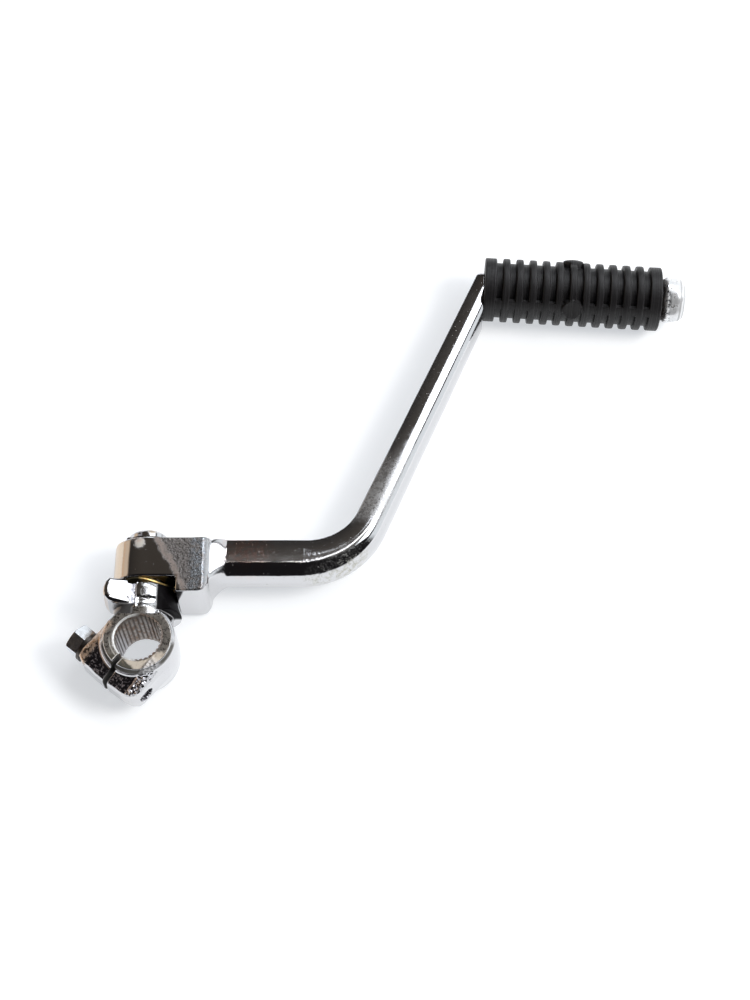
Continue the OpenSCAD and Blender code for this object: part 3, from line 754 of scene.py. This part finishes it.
# ------------------------------------------------------------------ rubber
def rubber():
    ns = []
    gap = (GRIP_L - 2 * BAND_W - RIBS * RIB_W) / (RIBS + 1)
    edge = 0.55
    spans = [(0.0, BAND_W)] + [(BAND_W + gap + i * (RIB_W + gap), BAND_W + gap + i * (RIB_W + gap) + RIB_W) for i in range(RIBS)]
    spans.append((GRIP_L - BAND_W, GRIP_L))
    marks = set()
    for a, b in spans:
        for q in (-0.30, -0.12, 0.0, 0.06, 0.16, 0.3, 0.5, 0.8):
            marks.add(round(a + q, 3))
            marks.add(round(b - q, 3))
        for q in np.linspace(a + 1.0, b - 1.0, 4):
            marks.add(round(float(q), 3))
    for (a, b), (c, d_) in zip(spans[:-1], spans[1:]):
        for q in np.linspace(b + 0.5, c - 0.5, 4):
            marks.add(round(float(q), 3))
    S = np.array(sorted(q for q in marks if 0.0 <= q <= GRIP_L))
    NT = 288
    T = np.arange(NT) * 2 * math.pi / NT
    s, t = np.meshgrid(S, T, indexing="ij")
    r0 = GRIP_R - RIB_D
    h = np.zeros_like(s)
    for i, (a, b) in enumerate(spans):
        # a raised ring with drafted walls and rounded shoulders
        dist = np.minimum(s - a, b - s)
        wall = np.clip(dist / 0.16 + 0.5, 0, 1)
        round_ = np.sqrt(np.clip(1 - (1 - np.clip(dist / edge, 0, 1)) ** 2, 0, 1))
        if i == 0:
            dist2 = b - s
            wall = np.clip(dist2 / 0.16 + 0.5, 0, 1)
            round_ = np.sqrt(np.clip(1 - (1 - np.clip(dist2 / edge, 0, 1)) ** 2, 0, 1))
        if i == len(spans) - 1:
            dist2 = s - a
            wall = np.clip(dist2 / 0.16 + 0.5, 0, 1)
            round_ = np.sqrt(np.clip(1 - (1 - np.clip(dist2 / edge, 0, 1)) ** 2, 0, 1))
        crown = 0.06 * np.clip(dist, 0, 2)
        ring = wall * (RIB_D - 0.45 + 0.45 * round_ + crown * (0 < i < len(spans) - 1))
        h = np.maximum(h, ring)
    # smooth lengthwise bands
    for a in (61, 241):
        c = math.radians(180 + a)
        da = np.abs((t - c + math.pi) % (2 * math.pi) - math.pi) * GRIP_R
        band = (RIB_D - 0.12) * smooth((2.35 - da) / 0.5)
        h = np.maximum(h, band)
    # round pads
    for a in (61, -55, 183):
        c = math.radians(180 + a)
        da = ((t - c + math.pi) % (2 * math.pi) - math.pi) * (GRIP_R + PAD_H)
        rr = np.hypot(da, s - GRIP_L / 2)
        flat = (GRIP_R + PAD_H) / np.maximum(np.cos(da / (GRIP_R + PAD_H)), 0.8)
        pr = PAD_R
        dome = flat - r0 if a != -55 else RIB_D + 1.15 * np.sqrt(np.clip(1 - (rr / pr) ** 2, 0, 1))
        pad = dome * smooth((pr + 0.22 - rr) / 0.5)
        h = np.where(rr < pr + 0.3, np.maximum(h, pad), h)
    # ends rounded
    e_ = np.minimum(s, GRIP_L - s)
    h = h - 0.5 * (1 - np.sqrt(np.clip(1 - (1 - np.clip(e_ / 0.5, 0, 1)) ** 2, 0, 1)))
    R = r0 + h
    ct, st = np.cos(t), np.sin(t)
    # angle runs from straight down towards the far side
    loc_t, loc_z = R * st, -R * ct
    rows = [(S[0], 6.25), (S[0], 9.0)]
    P = []
    def ring_row(sv, rv):
        return np.stack([np.full(NT, sv), rv * np.sin(T), -rv * np.cos(T)], -1)
    P.append(ring_row(0.0, SPIN_R))
    P.append(ring_row(0.0, 9.5))
    P.append(ring_row(0.0, GRIP_R - 0.9))
    for i in range(len(S)):
        P.append(np.stack([np.full(NT, S[i]), loc_t[i], loc_z[i]], -1))
    P.append(ring_row(GRIP_L, GRIP_R - 0.9))
    P.append(ring_row(GRIP_L, 9.5))
    P.append(ring_row(GRIP_L, SPIN_R))
    P = np.array(P)
    k_ = len(P)
    loc = P.reshape(-1, 3)
    # local (s, t, z) to the frame: t is towards the far side
    xy = GP + loc[:, :1] * UP + loc[:, 1:2] * NP
    V = np.c_[xy, loc[:, 2]]
    idx = np.arange(k_ * NT).reshape(k_, NT)
    a = idx[:-1]
    b = idx[1:]
    F = np.stack([a, b, np.roll(b, -1, 1), np.roll(a, -1, 1)], -1).reshape(-1, 4)
    inner = np.stack([idx[-1], idx[0], np.roll(idx[0], -1), np.roll(idx[-1], -1)], -1)
    F = np.concatenate([F, inner])
    return V, F


RV, RF_ = rubber()
rub = make("grip_rubber_moulding", RV, RF_, sharp=50)
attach(rub, "arm")
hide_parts("grip_rubber")
print("rubber", len(RV), len(RF_))


# ------------------------------------------------------------------ materials
def coords(net, scale=1000.0):
    """Object coordinates in millimetres."""
    return net.vmath("MULTIPLY", net.add("ShaderNodeTexCoord").outputs["Object"], (scale, scale, scale))


def finish_shader(net, colour, metal, rough, normal, spec=None):
    bs = net.add("ShaderNodeBsdfPrincipled")
    net.put(bs.inputs["Base Color"], colour)
    net.put(bs.inputs["Metallic"], metal)
    net.put(bs.inputs["Roughness"], rough)
    if normal is not None:
        net.put(bs.inputs["Normal"], normal)
    net.put(bs.inputs["Specular IOR Level"], spec)
    net.put(net.add("ShaderNodeOutputMaterial").inputs[0], bs.outputs[0])
    return bs


class Plate:
    """Old chrome plate. Zones add haze, pits, grime, crusted deposits, and painted shade, painted highlights and a
    painted tan reflection before the shader is made.
    """

    def __init__(self, name):
        self.mat = bpy.data.materials.new(name)
        self.mat.use_nodes = True
        m = self.m = Net(self.mat.node_tree)
        tc = m.add("ShaderNodeTexCoord")
        self.p = m.vmath("MULTIPLY", tc.outputs["Object"], (1000.0, 1000.0, 1000.0))
        self.x, self.y, self.z = m.sep(self.p)[:3]
        self.nx, self.ny, self.nz = m.sep(tc.outputs["Normal"])[:3]
        self.fine = m.noise(self.p, 2.4, 4.0, 0.62)
        self.mid = m.noise(self.p, 0.7, 3.0, 0.55)
        self.broad = m.noise(self.p, 0.11, 3.0, 0.5)
        pits = m.step(m.voronoi(self.p, 1.1), 0.17, 0.06)
        self.pits = m.math("MULTIPLY", pits, m.step(self.mid, 0.52, 0.66))
        self.rough = m.fmix(m.step(self.broad, 0.42, 0.72), 0.045, 0.085)
        self.rough = m.math("ADD", self.rough, m.math("MULTIPLY", self.fine, 0.02))
        self.rough = m.math("ADD", self.rough, m.math("MULTIPLY", self.pits, 0.3))
        self.colour = m.mix(m.math("MULTIPLY", self.pits, 0.7), (0.62, 0.62, 0.63, 1), (0.16, 0.13, 0.105, 1))
        self.metal = 1.0
        self.spec = 0.5
        self.height = m.math("SUBTRACT", m.math("MULTIPLY", self.fine, 0.12), self.pits)

    def both(self, *masks):
        out = masks[0]
        for k in masks[1:]:
            out = self.m.math("MULTIPLY", out, k)
        return out

    def near(self, c, inner, outer):
        """1 close to a point in millimetres."""
        return self.m.step(self.m.vmath("DISTANCE", self.p, c, out=1), outer, inner)

    def haze(self, mask, rough, tint=None):
        self.rough = self.m.fmix(mask, self.rough, rough)
        if tint is not None:
            self.colour = self.m.mix(mask, self.colour, tint)

    def crust_and_painted_light(self, mask, colour, rough=0.6, spec=0.25):
        """A dull layer over the plate, used for deposits and also for painted shade and painted highlights."""
        self.spec = self.m.fmix(mask, self.spec, spec)
        self.colour = self.m.mix(mask, self.colour, colour)
        self.metal = self.m.math("SUBTRACT", self.metal, mask, clamp=True)
        self.rough = self.m.fmix(mask, self.rough, rough)

    def relief(self, mask, height, amount):
        self.height = self.m.math("ADD", self.height, self.both(mask, self.m.math("MULTIPLY", height, amount)))

    def done(self, distance=0.00003):
        finish_shader(self.m, self.colour, self.metal, self.rough, self.m.bump(self.height, distance, 0.9), self.spec)
        return self.mat


def arm_plate():
    k = Plate("chrome_plate_arm")
    m = k.m
    head = m.step(k.x, 24.5, 22.0)
    up = m.step(k.nz, 0.35, 0.65)
    # dull, pitted part of the head beyond a slanting line
    line = m.math("ADD", k.x, m.math("MULTIPLY", k.y, 0.516))
    line = m.math("ADD", line, m.math("MULTIPLY", m.noise(k.p, 0.22, 3.0), 5.0))
    pitted = k.both(m.step(line, 26.2, 27.6), head, up)
    k.haze(pitted, 0.24, (0.31, 0.29, 0.28, 1))
    grain = m.step(m.noise(k.p, 1.7, 3.0, 0.7), 0.44, 0.66)
    k.crust_and_painted_light(k.both(pitted, grain, 0.35), (0.14, 0.125, 0.115, 1), 0.5)
    k.relief(pitted, m.noise(k.p, 1.3, 3.0, 0.6), 4.0)
    edge = k.both(m.step(line, 26.0, 27.2), m.step(line, 30.2, 28.2), head, up)
    k.crust_and_painted_light(k.both(edge, m.step(k.fine, 0.35, 0.6), 0.6), (0.36, 0.27, 0.225, 1), 0.5)
    blue = k.both(pitted, m.step(k.x, 16.0, 18.5))
    k.haze(k.both(blue, m.step(k.mid, 0.35, 0.6), 0.7), 0.22, (0.33, 0.37, 0.41, 1))
    # painted tan reflection on the side away from the window, tinted into the plate
    tan_reflection = k.both(m.step(k.nx, -0.52, -0.72), m.step(k.x, 0.0, -4.0))
    k.haze(tan_reflection, 0.16, (0.66, 0.54, 0.42, 1))
    # a pale, uneven spot on the head's top near its far edge
    pale_spot = m.math("ADD", m.vmath("DISTANCE", k.p, (-1.6, 37.4, 11.9), out=1), m.math("MULTIPLY", m.noise(k.p, 0.9, 3.0, 0.6), 2.6))
    k.crust_and_painted_light(k.both(m.step(pale_spot, 3.9, 2.4), 0.85), (0.60, 0.57, 0.52, 1), 0.5)
    k.crust_and_painted_light(k.both(k.near((-2.5, 39.5, 11.5), 0.6, 3.0), m.step(k.mid, 0.4, 0.6), 0.5), (0.38, 0.17, 0.10, 1), 0.5)
    # wear on the bar, and a painted brown reflection on its first stretch
    bar = m.step(k.x, 24.0, 30.0)
    k.haze(k.both(m.step(k.x, 23.4, 24.6), m.step(k.x, 31.0, 29.4), 0.9), 0.20)
    spots = k.both(m.step(m.voronoi(k.p, 0.55), 0.15, 0.07), m.step(m.noise(k.p, 0.13, 2.0), 0.50, 0.64), bar)
    k.crust_and_painted_light(k.both(spots, 0.7), (0.55, 0.52, 0.48, 1), 0.5)
    scrape = k.both(m.step(m.noise(k.p, 0.9, 4.0, 0.7), 0.60, 0.70), m.step(k.broad, 0.50, 0.62), bar)
    k.haze(k.both(scrape, 0.8), 0.24)
    patch_ = k.both(m.math("MAXIMUM", k.near((77.0, 29.0, 4.0), 2.5, 13.0), m.math("MULTIPLY", k.near((66.0, 26.5, 3.0), 2.0, 9.0), 0.6)), m.step(m.noise(k.p, 0.55, 4.0, 0.7), 0.42, 0.58))
    k.haze(k.both(patch_, 0.9), 0.30, (0.54, 0.54, 0.49, 1))
    k.crust_and_painted_light(k.both(patch_, m.step(m.noise(k.p, 1.6, 3.0, 0.7), 0.46, 0.62), 0.5), (0.20, 0.19, 0.14, 1), 0.5)
    k.relief(k.near((62.0, 27.6, 8.0), 3.0, 9.0), m.voronoi(k.p, 0.75), 1.8)
    k.relief(bar, m.noise(k.p, 0.9, 3.0, 0.6), 0.5)
    # painted brown reflection: a brown tint on the top of the bar's first stretch
    brown = k.both(k.near((38.0, 36.0, 9.0), 3.0, 13.0), m.step(k.mid, 0.3, 0.6))
    k.haze(k.both(brown, 0.8), 0.12, (0.72, 0.50, 0.43, 1))
    cloud = k.both(m.step(k.y, 46.0, 56.0), m.step(k.y, 98.0, 78.0), m.step(m.noise(k.p, 0.16, 3.0, 0.6), 0.34, 0.56))
    upward = k.both(m.step(k.nz, 0.45, 0.75), m.step(k.ny, -0.34, -0.16), bar)
    k.haze(k.both(cloud, upward, 0.85), 0.26)
    mott = m.fmix(m.step(m.noise(k.p, 0.85, 4.0, 0.7), 0.36, 0.64), 0.35, 1.0)
    lower = m.step(k.ny, 0.10, -0.10)
    k.crust_and_painted_light(k.both(upward, mott, m.fmix(lower, 0.03, 0.17), m.step(k.y, 60.0, 50.0)), (0.24, 0.235, 0.22, 1), 0.5)
    k.crust_and_painted_light(k.both(upward, mott, m.step(k.y, 46.0, 54.0), m.fmix(m.step(k.y, 84.0, 58.0), 0.04, 0.46)), (0.27, 0.27, 0.26, 1), 0.5)
    # bare, dirty neck of the button behind the rubber
    s = m.math("ADD", m.vmath("DOT_PRODUCT", k.p, (UP[0], UP[1], 0), out=1), -float(GP @ UP) - GRIP_L)
    tip = k.both(m.step(s, 4.2, 2.4), m.step(s, -3.0, -1.0), m.step(k.mid, 0.40, 0.52))
    k.crust_and_painted_light(k.both(tip, 0.9), (0.055, 0.041, 0.033, 1), 0.45)
    k.relief(m.step(s, -3.0, -1.0), m.noise(k.p, 0.8, 3.0, 0.6), 1.5)
    k.haze(m.step(s, 1.5, 3.5), 0.28, (0.84, 0.85, 0.86, 1))
    k.crust_and_painted_light(k.both(m.step(s, 3.6, 4.6), m.step(s, 9.4, 8.8), 0.4), (0.60, 0.60, 0.61, 1), 0.35)
    # two dark rings on the button's rounded end: painted shade that outlines it
    k.crust_and_painted_light(k.both(m.step(s, 7.5, 7.8), m.step(s, 8.5, 8.2), 0.5), (0.14, 0.14, 0.145, 1), 0.4)
    k.crust_and_painted_light(k.both(m.step(s, 9.0, 9.2), m.step(s, 9.72, 9.6), 0.55), (0.20, 0.20, 0.205, 1), 0.4)
    flecks = k.both(m.step(s, 3.2, 4.0), m.step(s, 7.4, 6.6), m.step(m.noise(k.p, 0.62, 4.0, 0.7), 0.57, 0.63))
    k.crust_and_painted_light(k.both(flecks, 0.9), (0.035, 0.033, 0.03, 1), 0.45)
    return k.done()


def boss_plate():
    k = Plate("chrome_plate_boss")
    m = k.m
    r = m.math("SQRT", m.math("ADD", m.math("MULTIPLY", k.x, k.x), m.math("MULTIPLY", k.y, k.y)))
    u = m.vmath("DOT_PRODUCT", k.p, (float(EU[0]), float(EU[1]), 0), out=1)
    v = m.vmath("DOT_PRODUCT", k.p, (float(EV[0]), float(EV[1]), 0), out=1)
    top = m.step(k.nz, 0.80, 0.95)
    ring = k.both(m.step(r, 12.6, 12.2), top, m.step(k.z, 11.0, 11.6))
    k.haze(ring, 0.27, (0.27, 0.25, 0.225, 1))
    k.crust_and_painted_light(k.both(ring, m.step(m.noise(k.p, 1.1, 4.0, 0.65), 0.42, 0.62), 0.5), (0.125, 0.108, 0.088, 1), 0.5)
    slant = m.math("ADD", m.math("MULTIPLY", k.x, 0.686), m.math("MULTIPLY", k.y, 0.727))
    slant = m.math("ADD", slant, m.math("MULTIPLY", k.mid, 1.2))
    low_ = m.step(m.math("ADD", k.y, m.math("MULTIPLY", k.mid, 3.0)), -3.4, -5.2)
    k.crust_and_painted_light(k.both(ring, m.step(slant, -7.9, -9.0), m.step(k.y, -5.0, -7.0), 0.85), (0.040, 0.038, 0.026, 1), 0.45)
    k.crust_and_painted_light(k.both(ring, low_, m.step(slant, -9.0, -8.2), 0.8), (0.60, 0.53, 0.44, 1), 0.45)
    k.crust_and_painted_light(k.both(ring, low_, m.step(m.noise(k.p, 0.8, 4.0, 0.7), 0.50, 0.66), 0.5), (0.20, 0.15, 0.11, 1), 0.5)
    # machined line inside the ring's left side, and a painted highlight along the slit's edges
    turned = k.both(ring, m.step(m.math("ABSOLUTE", m.math("SUBTRACT", r, 10.1)), 0.32, 0.16), m.step(k.x, -6.5, -8.0), m.step(k.y, 1.0, -2.0))
    k.crust_and_painted_light(k.both(turned, 0.7), (0.42, 0.41, 0.37, 1), 0.4)
    slit_edge_highlight = k.both(top, m.step(m.math("ABSOLUTE", v), 0.80, 0.95), m.step(m.math("ABSOLUTE", v), 1.45, 1.25), m.step(u, 8.0, 8.6), m.step(u, 12.6, 12.0))
    k.crust_and_painted_light(k.both(slit_edge_highlight, m.step(k.z, 11.0, 11.6), 0.85), (0.74, 0.72, 0.67, 1), 0.4)
    rimside = k.both(m.step(r, 12.3, 12.5), m.step(r, 14.2, 13.8), m.step(k.z, 9.5, 10.8), m.step(k.y, 0.0, -3.0))
    k.crust_and_painted_light(k.both(rimside, 0.92), (0.045, 0.042, 0.034, 1), 0.45, 0.15)
    # ears: nearly black tops with rust
    ear = k.both(m.step(r, 13.0, 14.2), m.step(u, 5.0, 8.0), m.step(k.nz, 0.55, 0.85))
    k.haze(k.both(ear, 0.9), 0.14, (0.42, 0.39, 0.42, 1))
    k.crust_and_painted_light(k.both(ear, m.step(m.noise(k.p, 0.9, 4.0, 0.65), 0.52, 0.64), 0.7), (0.085, 0.050, 0.038, 1), 0.45)
    k.crust_and_painted_light(k.both(ear, m.step(m.noise(k.p, 0.55, 5.0, 0.75), 0.63, 0.73), 0.32), (0.42, 0.39, 0.40, 1), 0.45)
    # tan, rusty flank on the bolt's side
    flank = k.both(m.step(v, -9.5, -11.5), m.step(k.nz, 0.15, 0.4), m.step(k.z, 0.0, 3.0), m.step(u, 0.5, 2.5), m.step(k.y, 11.5, 9.5))
    k.haze(flank, 0.22, (0.66, 0.52, 0.41, 1))
    k.crust_and_painted_light(k.both(flank, m.step(m.noise(k.p, 0.6, 4.0, 0.7), 0.44, 0.60), 0.65), (0.30, 0.17, 0.10, 1), 0.5)
    # rough cast flank on the other side
    cast = k.both(m.step(v, 8.6, 9.8), m.step(u, 1.0, 4.0), m.step(k.nz, 0.15, 0.35))
    k.relief(cast, m.voronoi(k.p, 0.72), 34.0)
    k.haze(k.both(cast, 0.6), 0.09, (0.50, 0.50, 0.52, 1))
    # neck: speckled strip, and painted shade in the corner by the head's skirt
    neck = k.both(m.step(k.y, 9.2, 9.8), m.step(k.y, 24.0, 23.0), m.step(k.z, -2.0, 0.0), m.step(r, 8.9, 9.2))
    strip = k.both(neck, m.step(k.x, -1.0, 0.5), m.step(k.x, 6.6, 5.6))
    k.haze(k.both(strip, 0.8), 0.20)
    k.crust_and_painted_light(k.both(strip, m.step(m.noise(m.vmath("MULTIPLY", k.p, (1.0, 0.35, 1.0)), 1.5, 3.0, 0.7), 0.53, 0.62), 0.6), (0.16, 0.15, 0.12, 1), 0.5)
    neck_gap_shade = k.both(neck, m.step(k.y, 11.3, 11.9), m.step(k.x, 5.2, 6.1))
    k.crust_and_painted_light(neck_gap_shade, (0.0035, 0.003, 0.0035, 1), 0.5, 0.06)
    # dulled right end of the lug's top
    dull = k.both(m.step(k.x, -5.2, -3.0), m.step(k.x, -1.3, -1.7), m.step(k.y, 12.5, 13.5), m.step(k.nz, 0.8, 0.95), m.step(m.noise(k.p, 0.8, 4.0, 0.65), 0.36, 0.60))
    k.crust_and_painted_light(k.both(dull, 0.8), (0.36, 0.36, 0.43, 1), 0.4)
    # painted shade between lug and ring
    lug_foot_shade = k.both(m.step(k.y, 9.3, 9.7), m.step(k.y, 14.4, 13.6), m.step(k.x, -0.6, -1.6), m.step(k.x, -12.0, -9.5), m.step(k.z, 3.0, 5.0), m.step(k.z, 11.4, 10.9))
    k.crust_and_painted_light(k.both(lug_foot_shade, 0.92), (0.016, 0.015, 0.014, 1), 0.45, 0.12)
    # painted shade inside the slit, near its top
    slit_shade = k.both(m.step(m.math("ABSOLUTE", v), 1.15, 0.95), m.step(u, 8.0, 9.5), m.step(k.z, 11.9, 11.0))
    k.crust_and_painted_light(k.both(slit_shade, 0.95), (0.030, 0.028, 0.022, 1), 0.5, 0.1)
    # painted tan reflection on the side away from the window, tinted into the plate
    tan_reflection = k.both(m.step(k.nx, -0.62, -0.80), m.step(k.y, 10.0, 13.0), m.step(k.y, 24.0, 23.0))
    k.haze(tan_reflection, 0.16, (0.70, 0.60, 0.52, 1))
    # brown patch on the journal's end
    k.crust_and_painted_light(k.both(k.near((2.0, 44.8, 6.6), 0.8, 2.2), 0.8), (0.36, 0.29, 0.21, 1), 0.5)
    return k.done()


def spline_metal():
    mat = bpy.data.materials.new("worn_spline_steel")
    mat.use_nodes = True
    m = Net(mat.node_tree)
    p = coords(m)
    x, y, z = m.sep(p)[:3]
    r = m.math("SQRT", m.math("ADD", m.math("MULTIPLY", x, x), m.math("MULTIPLY", y, y)))
    groove = m.step(r, BORE_R + 0.10, BORE_R + 0.40)
    blot = m.noise(p, 0.35, 4.0, 0.6)
    fine = m.noise(p, 2.5, 3.0, 0.6)
    c = m.mix(m.step(blot, 0.40, 0.62), (0.56, 0.52, 0.49, 1), (0.34, 0.23, 0.17, 1))
    # paler and bluer low down on the left, darker and browner below the upper edge
    pale = m.math("MULTIPLY", m.step(m.math("ADD", x, m.math("MULTIPLY", z, 0.35)), -3.5, -8.0), m.step(y, 7.5, 4.0))
    c = m.mix(m.math("MULTIPLY", pale, 0.8), c, (0.74, 0.73, 0.76, 1))
    c = m.mix(m.math("MULTIPLY", m.math("MULTIPLY", m.step(z, 5.0, 11.5), m.step(y, 3.0, 6.0)), 0.6), c, (0.24, 0.20, 0.16, 1))
    c = m.mix(m.math("MULTIPLY", groove, 0.72), c, (0.12, 0.090, 0.070, 1))
    # near-white colour on the bore's upper bevel on the left: a painted highlight
    bevel_highlight = m.math("MULTIPLY", m.step(z, 11.62, 11.72), m.step(x, 1.0, -2.0))
    c = m.mix(bevel_highlight, c, (0.97, 0.97, 0.95, 1))
    rough = m.math("ADD", 0.34, m.math("MULTIPLY", fine, 0.22))
    rough = m.fmix(bevel_highlight, rough, 0.42)
    finish_shader(m, c, m.fmix(bevel_highlight, 0.85, 0.6), rough, m.bump(fine, 0.00004, 0.8))
    return mat


def plain_metal(name, colour, rough, bump=0.00004, blotch=0.62):
    mat = bpy.data.materials.new(name)
    mat.use_nodes = True
    m = Net(mat.node_tree)
    p = coords(m)
    fine = m.noise(p, 3.0, 4.0, 0.6)
    blot = m.noise(p, 0.5, 3.0)
    c = m.mix(m.step(blot, 0.35, 0.7), colour, tuple(v * blotch for v in colour[:3]) + (1,))
    r = m.math("ADD", rough - 0.06, m.math("MULTIPLY", fine, 0.16))
    finish_shader(m, c, 1.0, r, m.bump(fine, bump, 0.8))
    return mat


def rubber_material():
    mat = bpy.data.materials.new("black_rubber")
    mat.use_nodes = True
    m = Net(mat.node_tree)
    p = coords(m)
    # fine rings round the pedal's axis, left by the mould
    s = m.math("ADD", m.vmath("DOT_PRODUCT", p, (UP[0], UP[1], 0), out=1), -float(GP @ UP))
    wob = m.math("MULTIPLY", m.noise(p, 0.25, 2.0), 0.5)
    streak = m.noise(m.comb(m.math("ADD", s, wob), 0.0, 0.0), 2.6, 3.0, 0.65)
    fine = m.noise(p, 3.5, 4.0, 0.6)
    broad = m.noise(p, 0.16, 3.0)
    c = m.mix(m.step(broad, 0.35, 0.7), (0.0060, 0.0055, 0.0058, 1), (0.0105, 0.0098, 0.0102, 1))
    c = m.mix(m.math("MULTIPLY", m.step(streak, 0.47, 0.68), 0.85), c, (0.042, 0.041, 0.043, 1))
    r = m.math("ADD", 0.50, m.math("MULTIPLY", m.step(streak, 0.40, 0.65), -0.13))
    h = m.math("ADD", m.math("MULTIPLY", streak, 0.7), m.math("MULTIPLY", fine, 0.5))
    finish_shader(m, c, 0.0, r, m.bump(h, 0.00010, 0.9), spec=0.36)
    return mat


zinc = plain_metal("bright_zinc", (0.66, 0.68, 0.70, 1), 0.20)
bolt_metal = plain_metal("bolt_zinc", (0.94, 0.96, 0.99, 1), 0.19, 0.00001, 0.88)
dark_steel = plain_metal("oiled_spring_steel", (0.12, 0.11, 0.10, 1), 0.35)


def washer_metal():
    """Yellow zinc, bright only where the lug and the head leave it uncovered; where they cover it, it is darkened as
    grime and painted shade.
    """
    mat = bpy.data.materials.new("yellow_zinc")
    mat.use_nodes = True
    m = Net(mat.node_tree)
    p = coords(m)
    x, y, z = m.sep(p)[:3]
    fine = m.noise(p, 3.0, 4.0, 0.6)
    # dark where the lug and the head cover it: grime and painted shade
    clean_and_unshaded = m.math("MULTIPLY", m.step(x, -1.5, 0.2), m.step(x, 9.5, 7.0))
    clean_and_unshaded = m.math("MAXIMUM", clean_and_unshaded, m.step(z, 2.0, 0.0))
    c = m.mix(m.step(fine, 0.35, 0.7), (1.0, 0.74, 0.30, 1), (0.80, 0.52, 0.17, 1))
    c = m.mix(clean_and_unshaded, (0.045, 0.040, 0.022, 1), c)
    finish_shader(m, c, m.fmix(clean_and_unshaded, 0.3, 1.0), m.math("ADD", 0.30, m.math("MULTIPLY", fine, 0.2)), m.bump(fine, 0.00003, 0.8))
    return mat


gold = washer_metal()


def wear(ob, mat):
    ob.data.materials.clear()
    ob.data.materials.append(mat)


wear(arm, arm_plate())
wear(boss, boss_plate())
wear(lin, spline_metal())
wear(rub, rubber_material())
wear(bolt, bolt_metal)
wear(wav, gold)
for name, mat in (("lock_washer", dark_steel), ("retaining_washer", zinc),
                  ("circlip", dark_steel), ("detent_ball", zinc), ("detent_spring", zinc)):
    wear(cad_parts[name], mat)
